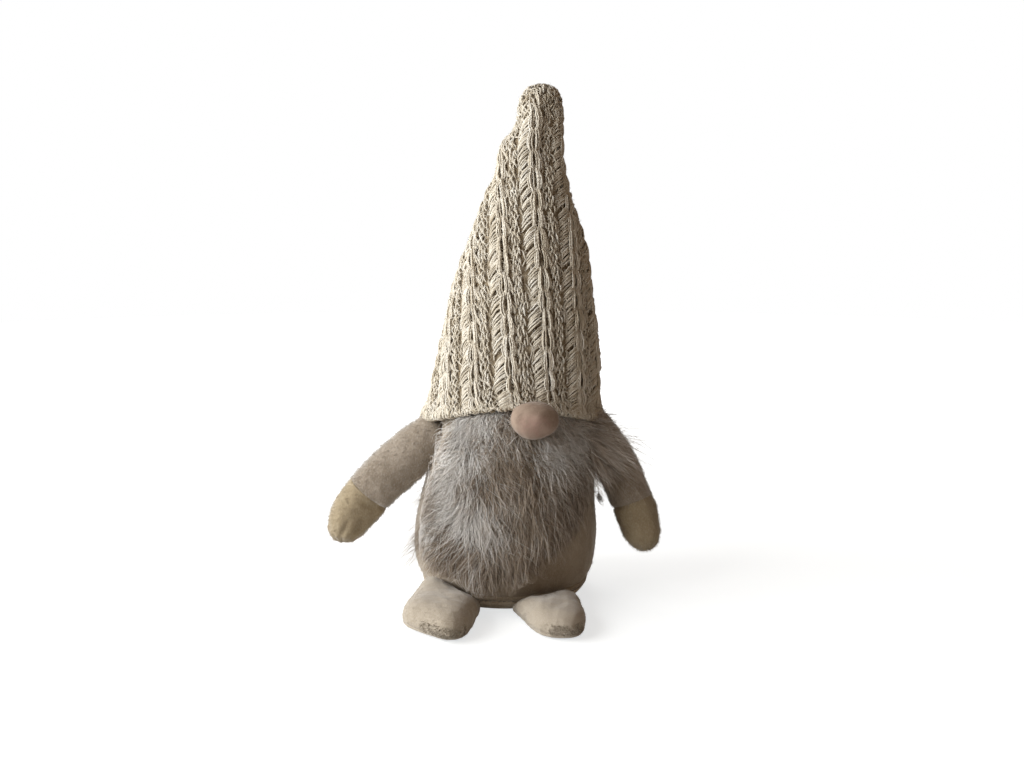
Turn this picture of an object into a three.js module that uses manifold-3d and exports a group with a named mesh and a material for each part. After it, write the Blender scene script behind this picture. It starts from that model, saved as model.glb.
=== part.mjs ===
// Fabric gnome: a plush sack on a weighted base, with arms, feet, a fur beard, a nose and a knitted hat.
// Millimetres, +Z up, the gnome faces -Y. The origin is the centre of the flat underside of the base.
// Left and right are as seen from the front: left is -X.
import * as THREE from "three";
import { mergeVertices } from "three/addons/utils/BufferGeometryUtils.js";
import Module from "manifold-3d";

const wasm = await Module();
wasm.setup();

const { lerp, smoothstep, clamp, degToRad } = THREE.MathUtils;

// Cloth and clearances
const PLUSH = 1.6; // thickness of the plush cloth
const KNIT = 3; // thickness of the knitted cloth
const NOSE_CLOTH = 1;
const POUCH_CLOTH = 0.8;
const GAP = 0.3; // between touching pieces
const SWING_GAP = 0.5; // between a moving piece and what it swings past
const BEARD_GAP = 0.9; // between the beard and the body, so that it can lift

// Stance: body and hat lean sideways from this height up
const LEAN = Math.tan(degToRad(3.95));
const LEAN_FROM = 30;

// Body
const BODY_WIDTH = 112;
const BODY_DEPTH = 103;
const BELLY_HEIGHT = 34; // height of the widest point
const WAIST_WIDTH = 104;
const WAIST_HEIGHT = 68;
const SHOULDER_WIDTH = 94;
const SHOULDER_HEIGHT = 100;
const CROWN_WIDTH = 66; // across the top of the sack, inside the hat
const CROWN_HEIGHT = 140;
const SACK_HEIGHT = 152;

// Base
const SEAM_WIDTH = 98; // across the seam where the body meets the base
const SEAM_HEIGHT = 6;
const HEEL_WIDTH = 108; // across the turn of the body just above the seam
const HEEL_HEIGHT = 16;
const FLAT_WIDTH = 88; // flat part of the base
const BASE_CURVE = 0.35; // share of the rise taken by the first, flatter part of the base's edge

// Pellet pouch in the foot of the body
const POUCH_ROOM = 8; // how much narrower it is than the seam round the base
const POUCH_WIDTH = SEAM_WIDTH - POUCH_ROOM;
const POUCH_HEIGHT = 30;
const POUCH_MOUTH_WIDTH = 12; // the mouth that the pellets go in through

// Hat
const HEM_WIDTH = 105.5; // across the flared lower edge
const HEM_HEIGHT = 105;
const HEM_LIFT = 13; // how much higher the edge runs at the front
const HEM_LIFT_REACH = 36; // height over which the lift fades out
const BRIM_WIDTH = 101;
const BRIM_HEIGHT = 116;
const HAT_DEPTH_SHARE = 0.94; // depth of the hat over its width
const LOWER_WIDTH = 93;
const LOWER_HEIGHT = 147;
const MIDDLE_WIDTH = 80;
const MIDDLE_HEIGHT = 184;
const UPPER_WIDTH = 58;
const UPPER_HEIGHT = 220;
const FILL_TOP_WIDTH = 36; // where the filling ends
const FILL_TOP_HEIGHT = 258;
const TIP_WIDTH = 26; // slack knit above the filling
const TIP_HEIGHT = 280; // where the tip starts to round off
const TIP_SHIFT = 2.4; // sideways shift of the slack tip
const HAT_HEIGHT = 300;
const FILL_SKIRT_HEIGHT = 124; // lowest edge of the filling in the hat
const RIB_PITCH = 21.5; // from one ridge of the knit to the next
const RIB_DEPTH = 2.4; // from a ridge down to a groove
const RIB_SIDE = -5.9; // how far a ridge near the front lies to the side on the flat cloth
const RIB_TURN = degToRad(7.8); // how far the ridges are turned from the hat's axis
const RIB_FROM = [118, 132]; // heights between which the ridges grow out of the turned hem
const RIB_TO = [282, 297]; // heights between which they end at the tip

// Beard. Its sides are a distance along the cloth from the front centre line and a height.
const BEARD_TOP = 124;
const BEARD_BOTTOM = 23;
const BEARD_LEFT_TOP = -30;
const BEARD_LEFT = [[-42, 98], [-55, 74], [-62, 50], [-50, 31]];
const BEARD_LEFT_BOTTOM = -26;
const BEARD_RIGHT_TOP = 44;
const BEARD_RIGHT = [[48, 98], [49, 78], [43, 52], [28, 32]];
const BEARD_RIGHT_BOTTOM = 8;
const BEARD_BEND_HEIGHT = 98; // the fur cloth bends here, just under the nose
const BEARD_LIFT = 45; // degrees
const BEARD_EDGE_THICK = 4; // fur and backing at the outline
const BEARD_BEND_THICK = 6;
const BEARD_THICK = 12; // in the middle
const BEARD_THICKENS_OVER = 24; // height below the bend over which it reaches its full thickness
const BEARD_TAPERS_OVER = 20; // height above its lower edge over which it thins
const BEARD_ROWS = 8;
const BEARD_BAND_ROWS = 4;
const BEARD_COLUMNS = 14;
const BEARD_EDGE_STEPS = 80; // points tried along each side's curve

// Nose
const NOSE_WIDTH = 26.5;
const NOSE_HEIGHT = 20;
const NOSE_DEPTH = 20;
const NOSE_SIDE = 16.5; // sideways from the origin
const NOSE_LEVEL = 112.5;
const NECK_WIDTH = 8; // gathered neck at the back
const NECK_LENGTH = 4.5;
const THREAD = 1.2; // thickness of the thread wound round the neck

// Arms
const ARM_WIDTH = 29;
const ARM_DEPTH = 25;
const ARM_ROOT_THICK = 5; // the root is sewn flat
const ARM_SWELLS_BY = 0.26; // share of the arm after which it has its full width
const WRIST_WIDTH = 28;
const WRIST_SHARE = 0.62; // share of the arm that is sleeve
const MITTEN_WIDTH = 25.5;
const ARMS = {
  left: { root: [-42, -3, 100], bend: [-93, -8, 57], tip: [-95, -14, 31], down: 10, up: 30 },
  right: { root: [51, -3, 101], bend: [75, -8, 73], tip: [85, -14, 26], down: 5, up: 35 },
};
const ARM_RINGS = 12; // over the whole arm
const ARM_FILL_FROM = 2; // the ring at which its filling starts
const ARM_TIP_RINGS = 4;

// Feet
const FOOT_WIDTH = 44;
const FOOT_LENGTH = 64;
const FOOT_THICK = 17;
const FOOT_BACK_THIN = 0.6; // share of the thickness lost at the back edge
const FOOT_SEAM_HEIGHT = 4;
const FOOT_SOLE_INSET = 5; // from the outline to the flat part of the sole
const FOOT_SQUARENESS = 2.6; // exponent of its outline
const FOOT_LIFT = 18; // degrees that the toe lifts
const FEET = {
  // where the foot is sewn on round the base, how it turns out, and from there to its middle
  left: { round: -37.5, turn: -8, reach: 27 },
  right: { round: 26, turn: 8, reach: 22.5 },
};

// Facets
const SIDES = 24;
const LIMB_SIDES = 12;
const BODY_RINGS = 14;
const HAT_RINGS = 15;
const TIP_RINGS = 4;
const HAT_SIDES = 60; // round the outside of the hat
const RIB_PARTS = 8; // from one ridge to the next, of which a wide ring has every second one
const RIB_FINE_REACH = 30; // nearer the tip than this, a ring has every part
const RIB_SHARE = 0.96; // past this share of the distance from the tip, parts follow on evenly
const RIB_APART = 1.5; // least distance of a point from the seam
const POUCH_RINGS = 8;
const NOSE_RINGS = 7;
const THREAD_SIDES = 6;
const MERGE_WITHIN = 1e-3; // points nearer than this are one point
const PAD_RINGS = 5;
const PAD_SIDES = 20;
const SWEEP_STEPS = 4;
const BEYOND = 4; // how far a cutter runs past what it cuts

const cloth = (color, roughness) => new THREE.MeshStandardMaterial({ color, roughness, metalness: 0 });
const materials = {
  plush: cloth(0x8f8272, 0.95),
  cream: cloth(0xc9bca2, 0.95),
  knit: cloth(0xd9cfbb, 0.9),
  fur: cloth(0xa79f98, 0.9),
  nose: cloth(0xb59484, 0.85),
  filling: cloth(0xf2f0ea, 1),
  pouch: cloth(0xe6e0d0, 0.9),
  pellets: cloth(0xdedede, 0.6),
  thread: cloth(0xb9a58f, 0.8),
};

// A closed geometry as a solid that can be cut and joined.
function solidOf(geometry) {
  const bare = new THREE.BufferGeometry();
  bare.setAttribute("position", geometry.getAttribute("position").clone());
  if (geometry.index) bare.setIndex(geometry.index.clone());
  const merged = mergeVertices(bare, MERGE_WITHIN);
  const triangles = [];
  const index = merged.index.array;
  for (let i = 0; i < index.length; i += 3) {
    const [a, b, c] = index.slice(i, i + 3);
    if (a !== b && b !== c && a !== c) triangles.push(a, b, c);
  }
  const vertProperties = merged.getAttribute("position").array;
  const mesh = new wasm.Mesh({ numProp: 3, vertProperties, triVerts: new Uint32Array(triangles) });
  return new wasm.Manifold(mesh);
}

// The largest body of a solid, as a geometry: slivers that a cut leaves are dropped.
function geometryOf(solid) {
  const bodies = solid.decompose().sort((a, b) => b.volume() - a.volume());
  const mesh = bodies[0].getMesh();
  const geometry = new THREE.BufferGeometry();
  geometry.setAttribute("position", new THREE.BufferAttribute(mesh.vertProperties, 3));
  geometry.setIndex(new THREE.BufferAttribute(mesh.triVerts, 1));
  geometry.computeVertexNormals();
  return geometry;
}

function cut(solid, cutters) {
  return cutters.reduce((left, cutter) => left.subtract(cutter), solid);
}

// Applies place(vertex) to every vertex of a geometry.
function reshape(geometry, place) {
  const position = geometry.getAttribute("position");
  const vertex = new THREE.Vector3();
  for (let i = 0; i < position.count; i++) {
    vertex.fromBufferAttribute(position, i);
    place(vertex);
    position.setXYZ(i, vertex.x, vertex.y, vertex.z);
  }
  return geometry;
}

// A smooth line of half widths through [width, height] pairs.
function lineThrough(stations, count) {
  const points = stations.map(([width, height]) => new THREE.Vector2(width / 2, height));
  return new THREE.SplineCurve(points).getSpacedPoints(count);
}

// Moves each point of a line inwards, square to the line.
function inset(line, distance) {
  return line.map((point, i) => {
    const before = line[Math.max(i - 1, 0)];
    const after = line[Math.min(i + 1, line.length - 1)];
    const step = after.clone().sub(before).normalize();
    const x = point.x - step.y * distance;
    return new THREE.Vector2(point.x > 0 ? Math.max(x, 0) : 0, point.y + step.x * distance);
  });
}

// A line closed to the axis at both ends.
function filled(line) {
  const ends = [line[0], line[line.length - 1]];
  const [bottom, top] = ends.map((end) => (end.x > 0 ? [new THREE.Vector2(0, end.y)] : []));
  return [...bottom, ...line, ...top];
}

// Sideways place of the leaning centre line at a height.
function leanAt(height) {
  return LEAN * Math.max(0, height - LEAN_FROM);
}

// Makes a round geometry a solid with an oval section, then leans it.
function leaned(geometry, depthShare, shape) {
  reshape(geometry, (v) => {
    v.y *= depthShare;
    shape(v);
    v.x += leanAt(v.z);
  });
  return solidOf(geometry);
}

// Turns a line about +Z into a leaning solid.
function turned(line, sides, depthShare, shape = () => {}) {
  const geometry = new THREE.LatheGeometry(filled(line), sides).rotateX(Math.PI / 2);
  return leaned(geometry, depthShare, shape);
}

// Moves the lower end of a line down, so that a cutter runs past what it cuts.
function lowered(line, by = BEYOND) {
  return [new THREE.Vector2(line[0].x, line[0].y - by), ...line];
}

// A line grown by a clearance, outwards and below its lower end.
const swollen = (line, grown) => (grown > 0 ? lowered(inset(line, -grown), grown) : line);

// Body: a sack open at the bottom, closed by the base
const bodyShare = BODY_DEPTH / BODY_WIDTH;
const bodyLine = lineThrough(
  [
    [SEAM_WIDTH, SEAM_HEIGHT + GAP],
    [HEEL_WIDTH, HEEL_HEIGHT],
    [BODY_WIDTH, BELLY_HEIGHT],
    [WAIST_WIDTH, WAIST_HEIGHT],
    [SHOULDER_WIDTH, SHOULDER_HEIGHT],
    [CROWN_WIDTH, CROWN_HEIGHT],
    [0, SACK_HEIGHT],
  ],
  BODY_RINGS,
);
const bodySolid = (grown) => turned(swollen(bodyLine, grown), SIDES, bodyShare);

// Half width of the body at a height.
function bodyRadius(height) {
  const above = bodyLine.findIndex((point) => point.y >= height);
  if (above <= 0) return bodyLine[0].x;
  const [low, high] = [bodyLine[above - 1], bodyLine[above]];
  return lerp(low.x, high.x, (height - low.y) / (high.y - low.y));
}

function bodyCover() {
  return bodySolid(0).subtract(turned(lowered(inset(bodyLine, PLUSH)), SIDES, bodyShare));
}

// Base: a shallow dish whose rim meets the lower edge of the body
const baseLine = [
  new THREE.Vector2(FLAT_WIDTH / 2, 0),
  new THREE.Vector2(lerp(FLAT_WIDTH, SEAM_WIDTH, 1 - BASE_CURVE) / 2, SEAM_HEIGHT * BASE_CURVE),
  new THREE.Vector2(SEAM_WIDTH / 2, SEAM_HEIGHT),
];
// The space that the base keeps clear of a moving piece.
function baseClearance(grown) {
  const rim = new THREE.Vector2(SEAM_WIDTH / 2 + grown, SEAM_HEIGHT + grown);
  return turned([...lowered(inset(baseLine, -grown)), rim], SIDES, bodyShare);
}
function basePanel() {
  const hollow = inset(baseLine, PLUSH);
  hollow[0].y = PLUSH;
  hollow.push(new THREE.Vector2(hollow[2].x, SEAM_HEIGHT + BEYOND));
  return turned(baseLine, SIDES, bodyShare).subtract(turned(hollow, SIDES, bodyShare));
}

// Pouch: a flattened round bag with a mouth, resting on the base
const pouchFloor = PLUSH + GAP;
function pouchSolid(grown) {
  const middle = pouchFloor + POUCH_HEIGHT / 2;
  const line = [];
  for (let i = 0; i <= POUCH_RINGS; i++) {
    const angle = Math.PI * (i / POUCH_RINGS - 0.5);
    const across = (POUCH_WIDTH / 2 + grown) * Math.cos(angle);
    line.push(new THREE.Vector2(across, middle + (POUCH_HEIGHT / 2 + grown) * Math.sin(angle)));
  }
  line[0].x = 0;
  line[POUCH_RINGS].x = 0;
  return turned(line, SIDES, bodyShare);
}
function pelletPouch() {
  const half = POUCH_MOUTH_WIDTH / 2;
  const mouth = new THREE.CylinderGeometry(half, half, POUCH_HEIGHT, LIMB_SIDES).rotateX(Math.PI / 2);
  mouth.translate(0, 0, pouchFloor + POUCH_HEIGHT);
  return cut(pouchSolid(0), [pouchSolid(-POUCH_CLOTH), solidOf(mouth)]);
}
function bodyFilling() {
  const inside = inset(bodyLine, PLUSH + GAP).filter((point) => point.y > pouchFloor + POUCH_HEIGHT / 2);
  return turned(inside, SIDES, bodyShare).subtract(pouchSolid(GAP));
}

// Hat: a tall sleeve of knit, slack above its filling
const hatLine = lineThrough(
  [
    [HEM_WIDTH, HEM_HEIGHT],
    [BRIM_WIDTH, BRIM_HEIGHT],
    [LOWER_WIDTH, LOWER_HEIGHT],
    [MIDDLE_WIDTH, MIDDLE_HEIGHT],
    [UPPER_WIDTH, UPPER_HEIGHT],
    [FILL_TOP_WIDTH, FILL_TOP_HEIGHT],
    [TIP_WIDTH, TIP_HEIGHT],
  ],
  HAT_RINGS,
);
for (let i = 1; i <= TIP_RINGS; i++) {
  const angle = (Math.PI / 2) * (i / TIP_RINGS);
  const across = i < TIP_RINGS ? (TIP_WIDTH / 2) * Math.cos(angle) : 0;
  hatLine.push(new THREE.Vector2(across, TIP_HEIGHT + (HAT_HEIGHT - TIP_HEIGHT) * Math.sin(angle)));
}
// The lower edge runs higher at the front, and the slack tip stands to one side.
function hatShape(v) {
  const fade = clamp(1 - (v.z - HEM_HEIGHT) / HEM_LIFT_REACH, 0, 1);
  const front = Math.max(0, -v.y / (Math.hypot(v.x, v.y) + Number.EPSILON));
  v.z += HEM_LIFT * fade * fade * front * front;
  v.x += TIP_SHIFT * smoothstep(v.z, FILL_TOP_HEIGHT, TIP_HEIGHT);
}
const hatTurned = (line, sides) => turned(line, sides, HAT_DEPTH_SHARE, hatShape);
const hatSolid = (grown) => hatTurned(swollen(hatLine, grown), HAT_SIDES);

// Distance from the tip along the cloth, at each point of the line.
const fromTip = hatLine.map(() => 0);
for (let i = hatLine.length - 2; i >= 0; i--) {
  fromTip[i] = fromTip[i + 1] + hatLine[i].distanceTo(hatLine[i + 1]);
}

// One ring round the ribbed hat. Ridges run straight down the flat cloth, which is sewn up at the
// back, so the ring has its points where it crosses them, numbered in parts of a rib.
function ribRing(point, reach) {
  const ring = [{ number: -Infinity, place: new THREE.Vector3(0, point.x, point.y) }];
  if (point.x < MERGE_WITHIN) return ring;
  const grown = smoothstep(point.y, ...RIB_FROM) * (1 - smoothstep(point.y, ...RIB_TO));
  const most = RIB_PARTS * Math.ceil((Math.PI * point.x) / RIB_PITCH + 1);
  for (let number = -most; number <= most; number += reach < RIB_FINE_REACH ? 1 : 2) {
    const share = (RIB_SIDE + (number * RIB_PITCH) / RIB_PARTS) / reach;
    const held = clamp(share, -RIB_SHARE, RIB_SHARE);
    const angle = ((RIB_TURN + Math.asin(held) + share - held) * reach) / point.x;
    if (Math.abs(angle) > Math.PI - RIB_APART / point.x) continue;
    const width = point.x + (RIB_DEPTH / 2) * grown * Math.cos((2 * Math.PI * number) / RIB_PARTS);
    const place = new THREE.Vector3(width * Math.sin(angle), -width * Math.cos(angle), point.y);
    ring.push({ number, place });
  }
  return ring;
}

// Rings of numbered points, joined each to the next into a closed surface. Lines of one number
// spread to both sides on the way up, and each face takes the shorter way across between them.
function joined(rings) {
  const places = rings.flat().map((point) => point.place);
  const faces = [];
  let first = 0;
  for (let i = 1; i < rings.length; i++) {
    const [low, high] = [rings[i - 1], rings[i]];
    const lowAt = (k) => first + (k % low.length);
    const highAt = (k) => first + low.length + (k % high.length);
    let [a, b] = [0, 0];
    while (a < low.length || b < high.length) {
      const lowNext = low[a + 1]?.number ?? Infinity;
      const highNext = high[b + 1]?.number ?? Infinity;
      const lowFirst = lowNext === highNext ? lowNext > 0 : lowNext < highNext;
      if (b === high.length || (a < low.length && lowFirst)) {
        faces.push(lowAt(a), lowAt(a + 1), highAt(b));
        a++;
      } else {
        faces.push(lowAt(a), highAt(b + 1), highAt(b));
        b++;
      }
    }
    first += low.length;
  }
  return new THREE.BufferGeometry().setFromPoints(places).setIndex(faces);
}
function hatCloth() {
  const hollow = hatTurned(lowered(inset(hatLine, KNIT)), SIDES);
  const bottom = [{ number: -Infinity, place: new THREE.Vector3(0, 0, hatLine[0].y) }];
  const rings = [bottom, ...hatLine.map((point, i) => ribRing(point, fromTip[i]))];
  return leaned(joined(rings), HAT_DEPTH_SHARE, hatShape).subtract(hollow);
}
function hatFilling(body) {
  const top = FILL_TOP_HEIGHT - KNIT;
  const inside = inset(hatLine, KNIT + GAP).filter((point) => point.y > FILL_SKIRT_HEIGHT && point.y < top);
  return hatTurned(inside, SIDES).subtract(body);
}

// Nose: an oval ball of cloth, gathered into a neck that is tied and sewn to the body
const noseAcross = (NOSE_SIDE - leanAt(NOSE_LEVEL)) / bodyRadius(NOSE_LEVEL);
const noseSeat = bodyRadius(NOSE_LEVEL) * bodyShare * Math.sqrt(1 - noseAcross ** 2) + GAP;
const noseMiddle = noseSeat + NECK_LENGTH + NOSE_DEPTH / 2;
function noseSolid(grown, neckGrown = grown) {
  const ball = new THREE.SphereGeometry(1, LIMB_SIDES, NOSE_RINGS);
  ball.scale(NOSE_WIDTH / 2 + grown, NOSE_DEPTH / 2 + grown, NOSE_HEIGHT / 2 + grown);
  ball.translate(NOSE_SIDE, -noseMiddle, NOSE_LEVEL);
  const half = NECK_WIDTH / 2 + neckGrown;
  const length = NECK_LENGTH + NOSE_DEPTH / 2 + BEYOND;
  const neck = new THREE.CylinderGeometry(half, half, length, LIMB_SIDES);
  neck.translate(NOSE_SIDE, length / 2 - noseMiddle, NOSE_LEVEL);
  return solidOf(ball).add(solidOf(neck));
}
function noseFilling() {
  const shrunk = NOSE_CLOTH + GAP;
  const ball = new THREE.SphereGeometry(1, LIMB_SIDES, NOSE_RINGS);
  ball.scale(NOSE_WIDTH / 2 - shrunk, NOSE_DEPTH / 2 - shrunk, NOSE_HEIGHT / 2 - shrunk);
  return solidOf(ball.translate(NOSE_SIDE, -noseMiddle, NOSE_LEVEL));
}
function noseThread() {
  const ringRadius = NECK_WIDTH / 2 + GAP + THREAD / 2;
  const ring = new THREE.TorusGeometry(ringRadius, THREAD / 2, THREAD_SIDES, LIMB_SIDES);
  ring.rotateX(Math.PI / 2);
  return solidOf(ring.translate(NOSE_SIDE, -noseSeat - NECK_LENGTH / 2, NOSE_LEVEL));
}

// Beard: a sheet of fur cloth that lies on the body and hangs straight from its widest point
function drapeRadius(height) {
  return bodyRadius(Math.max(height, BELLY_HEIGHT));
}
function edgeAt(points, height) {
  const curve = new THREE.SplineCurve(points.map(([across, level]) => new THREE.Vector2(across, level)));
  const nearest = (best, point) => (Math.abs(point.y - height) < Math.abs(best.y - height) ? point : best);
  return curve.getPoints(BEARD_EDGE_STEPS).reduce(nearest).x;
}
const beardSides = [
  [[BEARD_LEFT_TOP, BEARD_TOP], ...BEARD_LEFT, [BEARD_LEFT_BOTTOM, BEARD_BOTTOM]],
  [[BEARD_RIGHT_TOP, BEARD_TOP], ...BEARD_RIGHT, [BEARD_RIGHT_BOTTOM, BEARD_BOTTOM]],
];
// Full thickness in the middle, thin at the outline and at the bend.
function beardThickness(share, height) {
  const below = smoothstep(BEARD_BEND_HEIGHT - height, 0, BEARD_THICKENS_OVER);
  const taper = clamp((height - BEARD_BOTTOM) / BEARD_TAPERS_OVER, 0, 1);
  const middle = lerp(BEARD_BEND_THICK, BEARD_THICK, below) * Math.sqrt(taper);
  return BEARD_EDGE_THICK + Math.max(0, middle - BEARD_EDGE_THICK) * Math.sqrt(Math.sin(Math.PI * share));
}
function beardPoint(across, height, out) {
  const radius = drapeRadius(height);
  const angle = across / radius;
  const side = leanAt(height) + (radius + out) * Math.sin(angle);
  return [side, -(radius * bodyShare + out) * Math.cos(angle), height];
}
function beardSheet(bottom, top, rows) {
  const positions = [];
  const index = [];
  const at = (layer, row, column) => (layer * (rows + 1) + row) * (BEARD_COLUMNS + 1) + column;
  const quad = (a, b, c, d) => index.push(a, b, c, a, c, d);
  for (const layer of [0, 1]) {
    for (let row = 0; row <= rows; row++) {
      const height = lerp(bottom, top, row / rows);
      const [left, right] = beardSides.map((points) => edgeAt(points, height));
      for (let column = 0; column <= BEARD_COLUMNS; column++) {
        const share = column / BEARD_COLUMNS;
        const out = BEARD_GAP + layer * beardThickness(share, height);
        positions.push(...beardPoint(lerp(left, right, share), height, out));
      }
    }
  }
  const end = BEARD_COLUMNS;
  for (let row = 0; row < rows; row++) {
    for (let c = 0; c < end; c++) {
      quad(at(1, row, c), at(1, row, c + 1), at(1, row + 1, c + 1), at(1, row + 1, c));
      quad(at(0, row + 1, c), at(0, row + 1, c + 1), at(0, row, c + 1), at(0, row, c));
    }
    quad(at(0, row, 0), at(1, row, 0), at(1, row + 1, 0), at(0, row + 1, 0));
    quad(at(1, row, end), at(0, row, end), at(0, row + 1, end), at(1, row + 1, end));
  }
  for (let c = 0; c < end; c++) {
    quad(at(0, 0, c), at(0, 0, c + 1), at(1, 0, c + 1), at(1, 0, c));
    quad(at(1, rows, c), at(1, rows, c + 1), at(0, rows, c + 1), at(0, rows, c));
  }
  const geometry = new THREE.BufferGeometry();
  geometry.setAttribute("position", new THREE.Float32BufferAttribute(positions, 3));
  geometry.setIndex(index);
  return solidOf(geometry);
}
// The bend: a wedge, open to the front, that leaves room for the lower part to lift.
const bendDepth = drapeRadius(BEARD_BEND_HEIGHT) * bodyShare + BEARD_GAP;
function bendWedge() {
  const reach = BODY_DEPTH;
  const open = reach * Math.tan(degToRad(BEARD_LIFT / 2)) + SWING_GAP;
  const outline = new THREE.Shape([
    new THREE.Vector2(0, SWING_GAP / 2),
    new THREE.Vector2(-reach, open),
    new THREE.Vector2(-reach, -open),
    new THREE.Vector2(0, -SWING_GAP / 2),
    new THREE.Vector2(reach, -SWING_GAP / 2),
    new THREE.Vector2(reach, SWING_GAP / 2),
  ]);
  const length = 2 * BODY_WIDTH;
  const wedge = new THREE.ExtrudeGeometry(outline, { depth: length, bevelEnabled: false, steps: 1 });
  wedge.translate(0, 0, -length / 2).rotateY(Math.PI / 2).rotateX(Math.PI / 2);
  return solidOf(wedge.translate(0, -bendDepth, BEARD_BEND_HEIGHT));
}

// The obstacles as a moving piece meets them on its way from one angle to another.
function sweep(obstacles, pivot, axis, from, to) {
  const swept = [];
  for (let i = 0; i <= SWEEP_STEPS; i++) {
    const angle = degToRad(lerp(from, to, i / SWEEP_STEPS));
    const back = new THREE.Matrix4().makeTranslation(pivot);
    back.multiply(new THREE.Matrix4().makeRotationAxis(axis, -angle));
    back.multiply(new THREE.Matrix4().makeTranslation(pivot.clone().negate()));
    for (const obstacle of obstacles) swept.push(obstacle.transform([...back.elements]));
  }
  return swept;
}

// Arm: an oval tube along a curve, sewn flat at the root and round at the tip
function armCurve({ root, bend, tip }) {
  const points = [root, bend, tip].map((place) => new THREE.Vector3(...place));
  return new THREE.QuadraticBezierCurve3(...points);
}
function armWidthAt(share) {
  const sleeve = lerp(ARM_WIDTH, WRIST_WIDTH, smoothstep(share, ARM_SWELLS_BY, WRIST_SHARE));
  const full = lerp(sleeve, MITTEN_WIDTH, smoothstep(share, WRIST_SHARE, 1));
  return lerp(ARM_ROOT_THICK, full, smoothstep(share, 0, ARM_SWELLS_BY));
}
function armSolid(curve, from, to, shrunk) {
  const length = curve.getLength();
  const end = 1 - shrunk / length;
  const round = 1 - MITTEN_WIDTH / 2 / length; // where the tip starts to round off
  const last = Math.min(to, round);
  const shares = [from];
  for (let i = 0; i / ARM_RINGS < last; i++) if (i / ARM_RINGS > from) shares.push(i / ARM_RINGS);
  shares.push(last);
  for (let i = 1; i <= ARM_TIP_RINGS && to === 1; i++) {
    shares.push(lerp(round, end, Math.sin((Math.PI / 2) * (i / ARM_TIP_RINGS))));
  }
  const line = shares.map((share) => new THREE.Vector2(1, share));
  const geometry = new THREE.LatheGeometry(filled(line), LIMB_SIDES).rotateX(Math.PI / 2);
  reshape(geometry, (v) => {
    const share = clamp(v.z, 0, 1);
    const tangent = curve.getTangentAt(share);
    const centre = curve.getPointAt(share).addScaledVector(tangent, (v.z - share) * length);
    const front = new THREE.Vector3(0, 1, 0).addScaledVector(tangent, -tangent.y).normalize();
    const up = new THREE.Vector3().crossVectors(front, tangent);
    const beyond = clamp((v.z - round) / (end - round), 0, 1);
    const tip = Math.sqrt(1 - beyond ** 2);
    const across = (armWidthAt(share) / 2 - shrunk) * tip;
    const deep = (ARM_DEPTH / 2 - shrunk) * tip;
    v.copy(centre.addScaledVector(up, v.x * across).addScaledVector(front, v.y * deep));
  });
  return solidOf(geometry);
}
function armPieces(place) {
  const curve = armCurve(place);
  const length = curve.getLength();
  const seam = GAP / 2 / length;
  const past = BEYOND / length;
  const hollow = armSolid(curve, -past, 1, PLUSH);
  return {
    sleeve: armSolid(curve, 0, WRIST_SHARE - seam, 0).subtract(hollow),
    mitten: armSolid(curve, WRIST_SHARE + seam, 1, 0).subtract(hollow),
    filling: armSolid(curve, ARM_FILL_FROM / ARM_RINGS, 1, PLUSH + GAP),
  };
}

// Foot: a flat pad whose top and sole meet at a seam all round, with its toe at -Y
function footTurned(line) {
  const geometry = new THREE.LatheGeometry(filled(line), PAD_SIDES).rotateX(Math.PI / 2);
  reshape(geometry, (v) => {
    const across = Math.hypot(v.x, v.y);
    if (across === 0) return;
    const [x, y] = [Math.abs(v.x) / across, Math.abs(v.y) / across];
    const stretch = (x ** FOOT_SQUARENESS + y ** FOOT_SQUARENESS) ** (-1 / FOOT_SQUARENESS);
    v.x *= stretch;
    v.y *= stretch * (FOOT_LENGTH / FOOT_WIDTH);
    if (v.z > FOOT_SEAM_HEIGHT) {
      const thin = 1 - FOOT_BACK_THIN * smoothstep(v.y, 0, FOOT_LENGTH / 2);
      v.z = FOOT_SEAM_HEIGHT + (v.z - FOOT_SEAM_HEIGHT) * thin;
    }
  });
  return solidOf(geometry);
}
function footTopLine(shrunk, floor) {
  const line = [];
  for (let i = 0; i <= PAD_RINGS; i++) {
    const angle = (Math.PI / 2) * (i / PAD_RINGS);
    const across = (FOOT_WIDTH / 2 - shrunk) * Math.sqrt(Math.cos(angle));
    line.push(new THREE.Vector2(across, floor + (FOOT_THICK - shrunk - floor) * Math.sin(angle)));
  }
  line[PAD_RINGS].x = 0;
  return line;
}
function footSoleLine(shrunk) {
  const half = FOOT_WIDTH / 2 - shrunk;
  return [new THREE.Vector2(half - FOOT_SOLE_INSET, shrunk), new THREE.Vector2(half, FOOT_SEAM_HEIGHT)];
}
function footPieces() {
  const above = FOOT_SEAM_HEIGHT + GAP;
  const past = new THREE.Vector2(FOOT_WIDTH / 2 - PLUSH, FOOT_SEAM_HEIGHT + BEYOND);
  const hollow = footTurned(lowered(footTopLine(PLUSH, above)));
  const dish = footTurned([...footSoleLine(PLUSH), past]);
  const inside = PLUSH + GAP;
  return {
    top: footTurned(footTopLine(0, above)).subtract(hollow),
    sole: footTurned(footSoleLine(0)).subtract(dish),
    filling: footTurned([...footSoleLine(inside), ...footTopLine(inside, above)]),
  };
}

const gnome = new THREE.Group();
function add(name, solid, material) {
  const mesh = new THREE.Mesh(geometryOf(solid), material);
  mesh.name = name;
  gnome.add(mesh);
}

const bodyClear = bodySolid(GAP);
const noseClear = noseSolid(GAP, 2 * GAP + THREAD);

// Body, base and what they hold
add("body_cover", bodyCover(), materials.plush);
add("base_panel", basePanel(), materials.cream);
add("pellet_pouch", pelletPouch(), materials.pouch);
add("pellets", pouchSolid(-POUCH_CLOTH - GAP), materials.pellets);
add("body_filling", bodyFilling(), materials.filling);

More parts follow.
